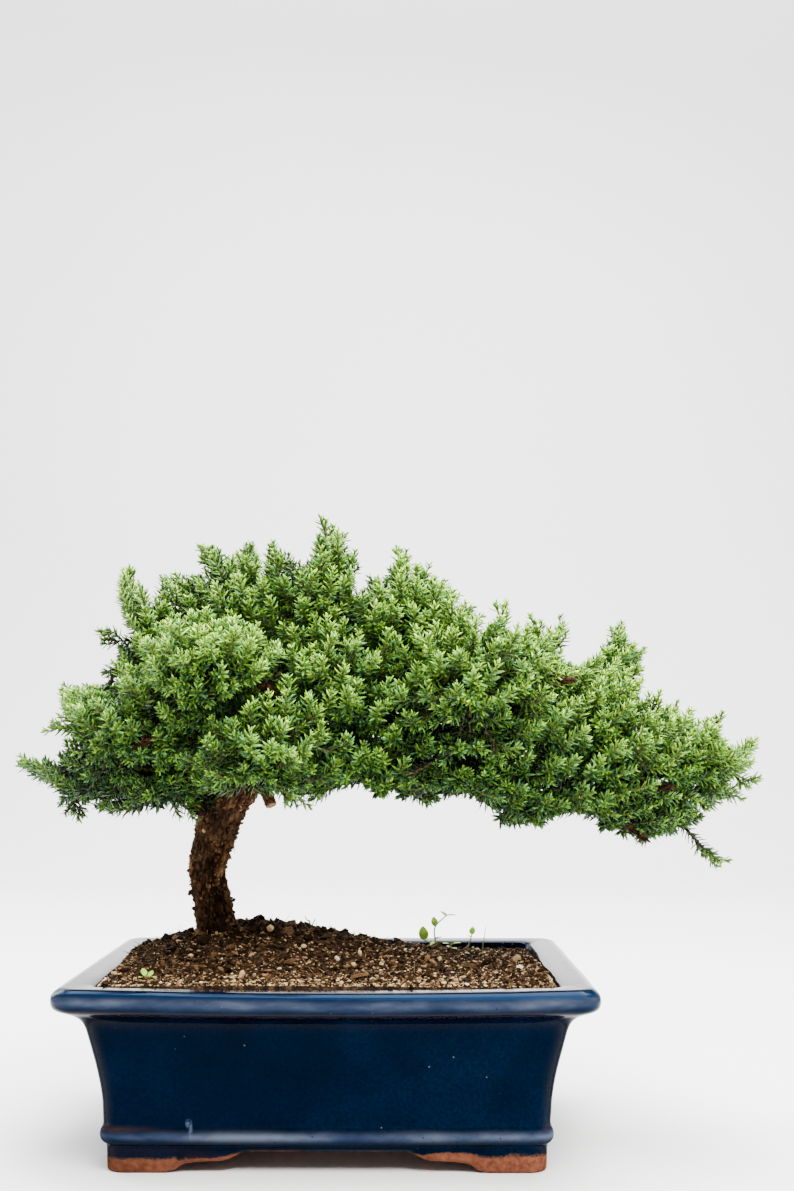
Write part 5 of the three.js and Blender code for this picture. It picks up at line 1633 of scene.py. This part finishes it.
DEAD_TWIG = [
    ([(-9, 10, 72), (-10, 9.6, 78), (-11, 9, 84.5)], (0.6, 0.3)),
    ([(-10.2, 9.5, 79), (-11.8, 9.3, 81), (-13.5, 9, 83.6)], (0.4, 0.2)),
    ([(-10.5, 9.3, 81.5), (-9.6, 9, 83), (-8.5, 8.6, 85.4)], (0.38, 0.2)),
    ([(-11, 9, 84.2), (-12.4, 8.8, 85), (-13, 8.6, 86.6)], (0.3, 0.15)),
]
TWIG_LITTER = [
    ([(-37, 12, 79), (-31, 10, 84), (-25, 9, 83), (-21, 9, 79)], (0.35, 0.2)),
    ([(-16, 9, 77), (-16.5, 9, 81), (-17.4, 8.6, 83.5)], (0.3, 0.15)),
    ([(-13.6, 6, 77), (-13.8, 6, 80), (-14.2, 5.6, 82)], (0.3, 0.15)),
    ([(6, -34, 68.6), (16, -33, 69.4), (27, -31, 68.8)], (0.9, 0.6)),
    ([(-60, -6, 74), (-54, -10, 76), (-50, -13, 75)], (0.35, 0.3)),
]


def add_leaf(shape, foot, tip, width):
    """An oval leaf blade with a folded midrib, closed below."""
    foot, tip = np.array(foot, float), np.array(tip, float)
    along = tip - foot
    side = unit(np.array([-along[1], along[0], 0.0]))
    up = unit(np.cross(along, side))
    share = np.linspace(0, 1, LEAF_STATIONS)
    half = width / 2 * np.sin(math.pi * share ** 0.8) ** 0.7
    sag = LEAF_DROOP * np.linalg.norm(along) * share ** 2
    spine = foot + share[:, None] * along - up * sag[:, None]
    rows = []
    for lift in (0.14, -0.14):
        for out in (-1, -0.5, 0, 0.5, 1):
            fold = 0.22 * abs(out) * half + lift * (1 - 0.6 * abs(out))
            rows.append(spine + side * (out * half)[:, None] + up * fold[:, None])
    points = np.stack(rows, 1)
    count = len(LEAF_RING)
    faces = [
        (first + a, first + count + a, first + count + b, first + b)
        for first in range(0, count * (LEAF_STATIONS - 1), count)
        for a, b in zip(LEAF_RING, np.roll(LEAF_RING, -1))
    ]
    caps = [LEAF_RING, count * (LEAF_STATIONS - 1) + LEAF_RING[::-1]]
    shape.add(points, np.array(faces), np.array(caps))


def add_stem(shape, points, radii, tone=1.0, sides=8):
    path = curve_points(points, np.linspace(0, 1, 5 * len(points)))
    body, _, faces = tube(path, np.linspace(*radii, len(path)), sides)
    shape.add(body, *faces, tone=tone)


def seedling_pieces(green):
    for name, node, stems, leaves in SEEDLINGS:
        shape = Shape("tone")
        for stem in stems:
            add_stem(shape, *stem)
        for leaf in leaves:
            add_leaf(shape, *leaf)
        shape.piece(name, [green], [node])


def twig_pieces(dead_wood):
    """The forked dead twig that stands in the soil, and scraps of twig that lie about."""
    groups = (("dead_twig_forked", DEAD_TWIG, ["dead_twig"]), ("twig_litter", TWIG_LITTER, []))
    for name, twigs, replaced in groups:
        shape = Shape("tone")
        for points, radii in twigs:
            add_stem(shape, points, radii, sides=7)
        shape.piece(name, [dead_wood], replaced)


# ---- Floor, light and camera ---------------------------------------------------------------------------

def stage_floor():
    """A pale floor that curves up into a pale wall far behind."""
    depth, bend, height = 1.1, 0.5, 2.6
    angle = np.linspace(0, math.pi / 2, 16)
    y = np.concatenate([[-3.0], depth + bend * np.sin(angle), [depth + bend]])
    z = np.concatenate([[0.0], bend * (1 - np.cos(angle)), [height]])
    points = [(x, yy, zz) for yy, zz in zip(y, z) for x in (-4.0, 4.0)]
    faces = [(2 * i, 2 * i + 1, 2 * i + 3, 2 * i + 2) for i in range(len(y) - 1)]
    mesh = bpy.data.meshes.new("floor")
    mesh.from_pydata(points, [], faces)
    mesh.polygons.foreach_set("use_smooth", [True] * len(faces))
    floor = bpy.data.objects.new("floor", mesh)
    bpy.context.scene.collection.objects.link(floor)
    look = Look("pale_floor", Roughness=0.7)
    look.drive("Base Color", look.ramp(look.noise(400, 2), (0.3, 0.80), (0.7, 0.82)))
    mesh.materials.append(look.material)
    floor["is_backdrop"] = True


# Each area light: its place and what it points at, its size, its power and its colour.
LIGHTS = [
    ("key", (0.35, -0.75, 1.3), (0, 0, 0.15), (0.8, 0.8), 66, (1.0, 0.99, 0.96)),
    ("top", (0.1, 0.15, 1.5), (0, 0, 0.15), (1.2, 0.9), 115, (1, 1, 1)),
    ("side", (-0.9, 0.6, 0.7), (0, 0, 0.15), (0.6, 0.8), 14, (0.95, 0.98, 1.0)),
    ("backdrop", (0, 0.7, 2.2), (0, 1.6, 1.2), (3.0, 0.4), 60, (1, 1, 1)),
]
WORLD_COLOUR, WORLD_STRENGTH = (0.97, 0.98, 1.0, 1), 0.4


def light_scene():
    world = bpy.data.worlds.new("studio")
    world.use_nodes = True
    background = world.node_tree.nodes["Background"]
    background.inputs["Color"].default_value = WORLD_COLOUR
    background.inputs["Strength"].default_value = WORLD_STRENGTH
    bpy.context.scene.world = world
    for name, at, towards, size, power, colour in LIGHTS:
        light = bpy.data.lights.new(name, "AREA")
        light.shape = "RECTANGLE"
        light.size, light.size_y = size
        light.energy = power
        light.color = colour
        lamp = bpy.data.objects.new(name, light)
        lamp.location = at
        lamp.rotation_euler = (Vector(towards) - Vector(at)).to_track_quat("-Z", "Y").to_euler()
        bpy.context.scene.collection.objects.link(lamp)


def place_camera():
    camera = bpy.data.objects.new("camera", bpy.data.cameras.new("camera"))
    camera.location = (np.array(CAMERA_AT) + POT_MIDDLE) / 1000
    camera.rotation_euler = CAMERA_TURN
    camera.data.lens = CAMERA_LENS
    camera.data.clip_start = 0.01
    bpy.context.scene.collection.objects.link(camera)
    bpy.context.scene.camera = camera


# ---- The whole scene -----------------------------------------------------------------------------------

def dress():
    sprays = lay_out_sprays()
    leaders = lay_out_leaders(sprays)
    bark = bark_look()
    crumb = crumb_look()
    pot_piece(glaze_look())
    soil_piece(soil_look())
    crumb_pieces(crumb, grit_look())
    fibre_piece(crumb)
    trunk_piece(bark)
    limb_piece(bark, sprays)
    stub_piece(bark, dry_wood_look("sawn_wood", 0.8, (0.13, 0.062, 0.028), (0.34, 0.19, 0.095), 0.15, 0.8))
    foliage_pieces([needle_look(), stem_look()], sprays, leaders)
    seedling_pieces(leaf_look())
    twig_pieces(dry_wood_look("dead_wood", 1.1, (0.025, 0.016, 0.011), (0.10, 0.066, 0.043), 0.2, 0.85))
    screen = screen_look()
    for name in ("drain_screen_1", "drain_screen_2"):
        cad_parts[name].data.materials.clear()
        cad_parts[name].data.materials.append(screen)


place_camera()
stage_floor()
light_scene()
dress()

[[list(corner) for corner in box] for box in (cad_bounds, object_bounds())]
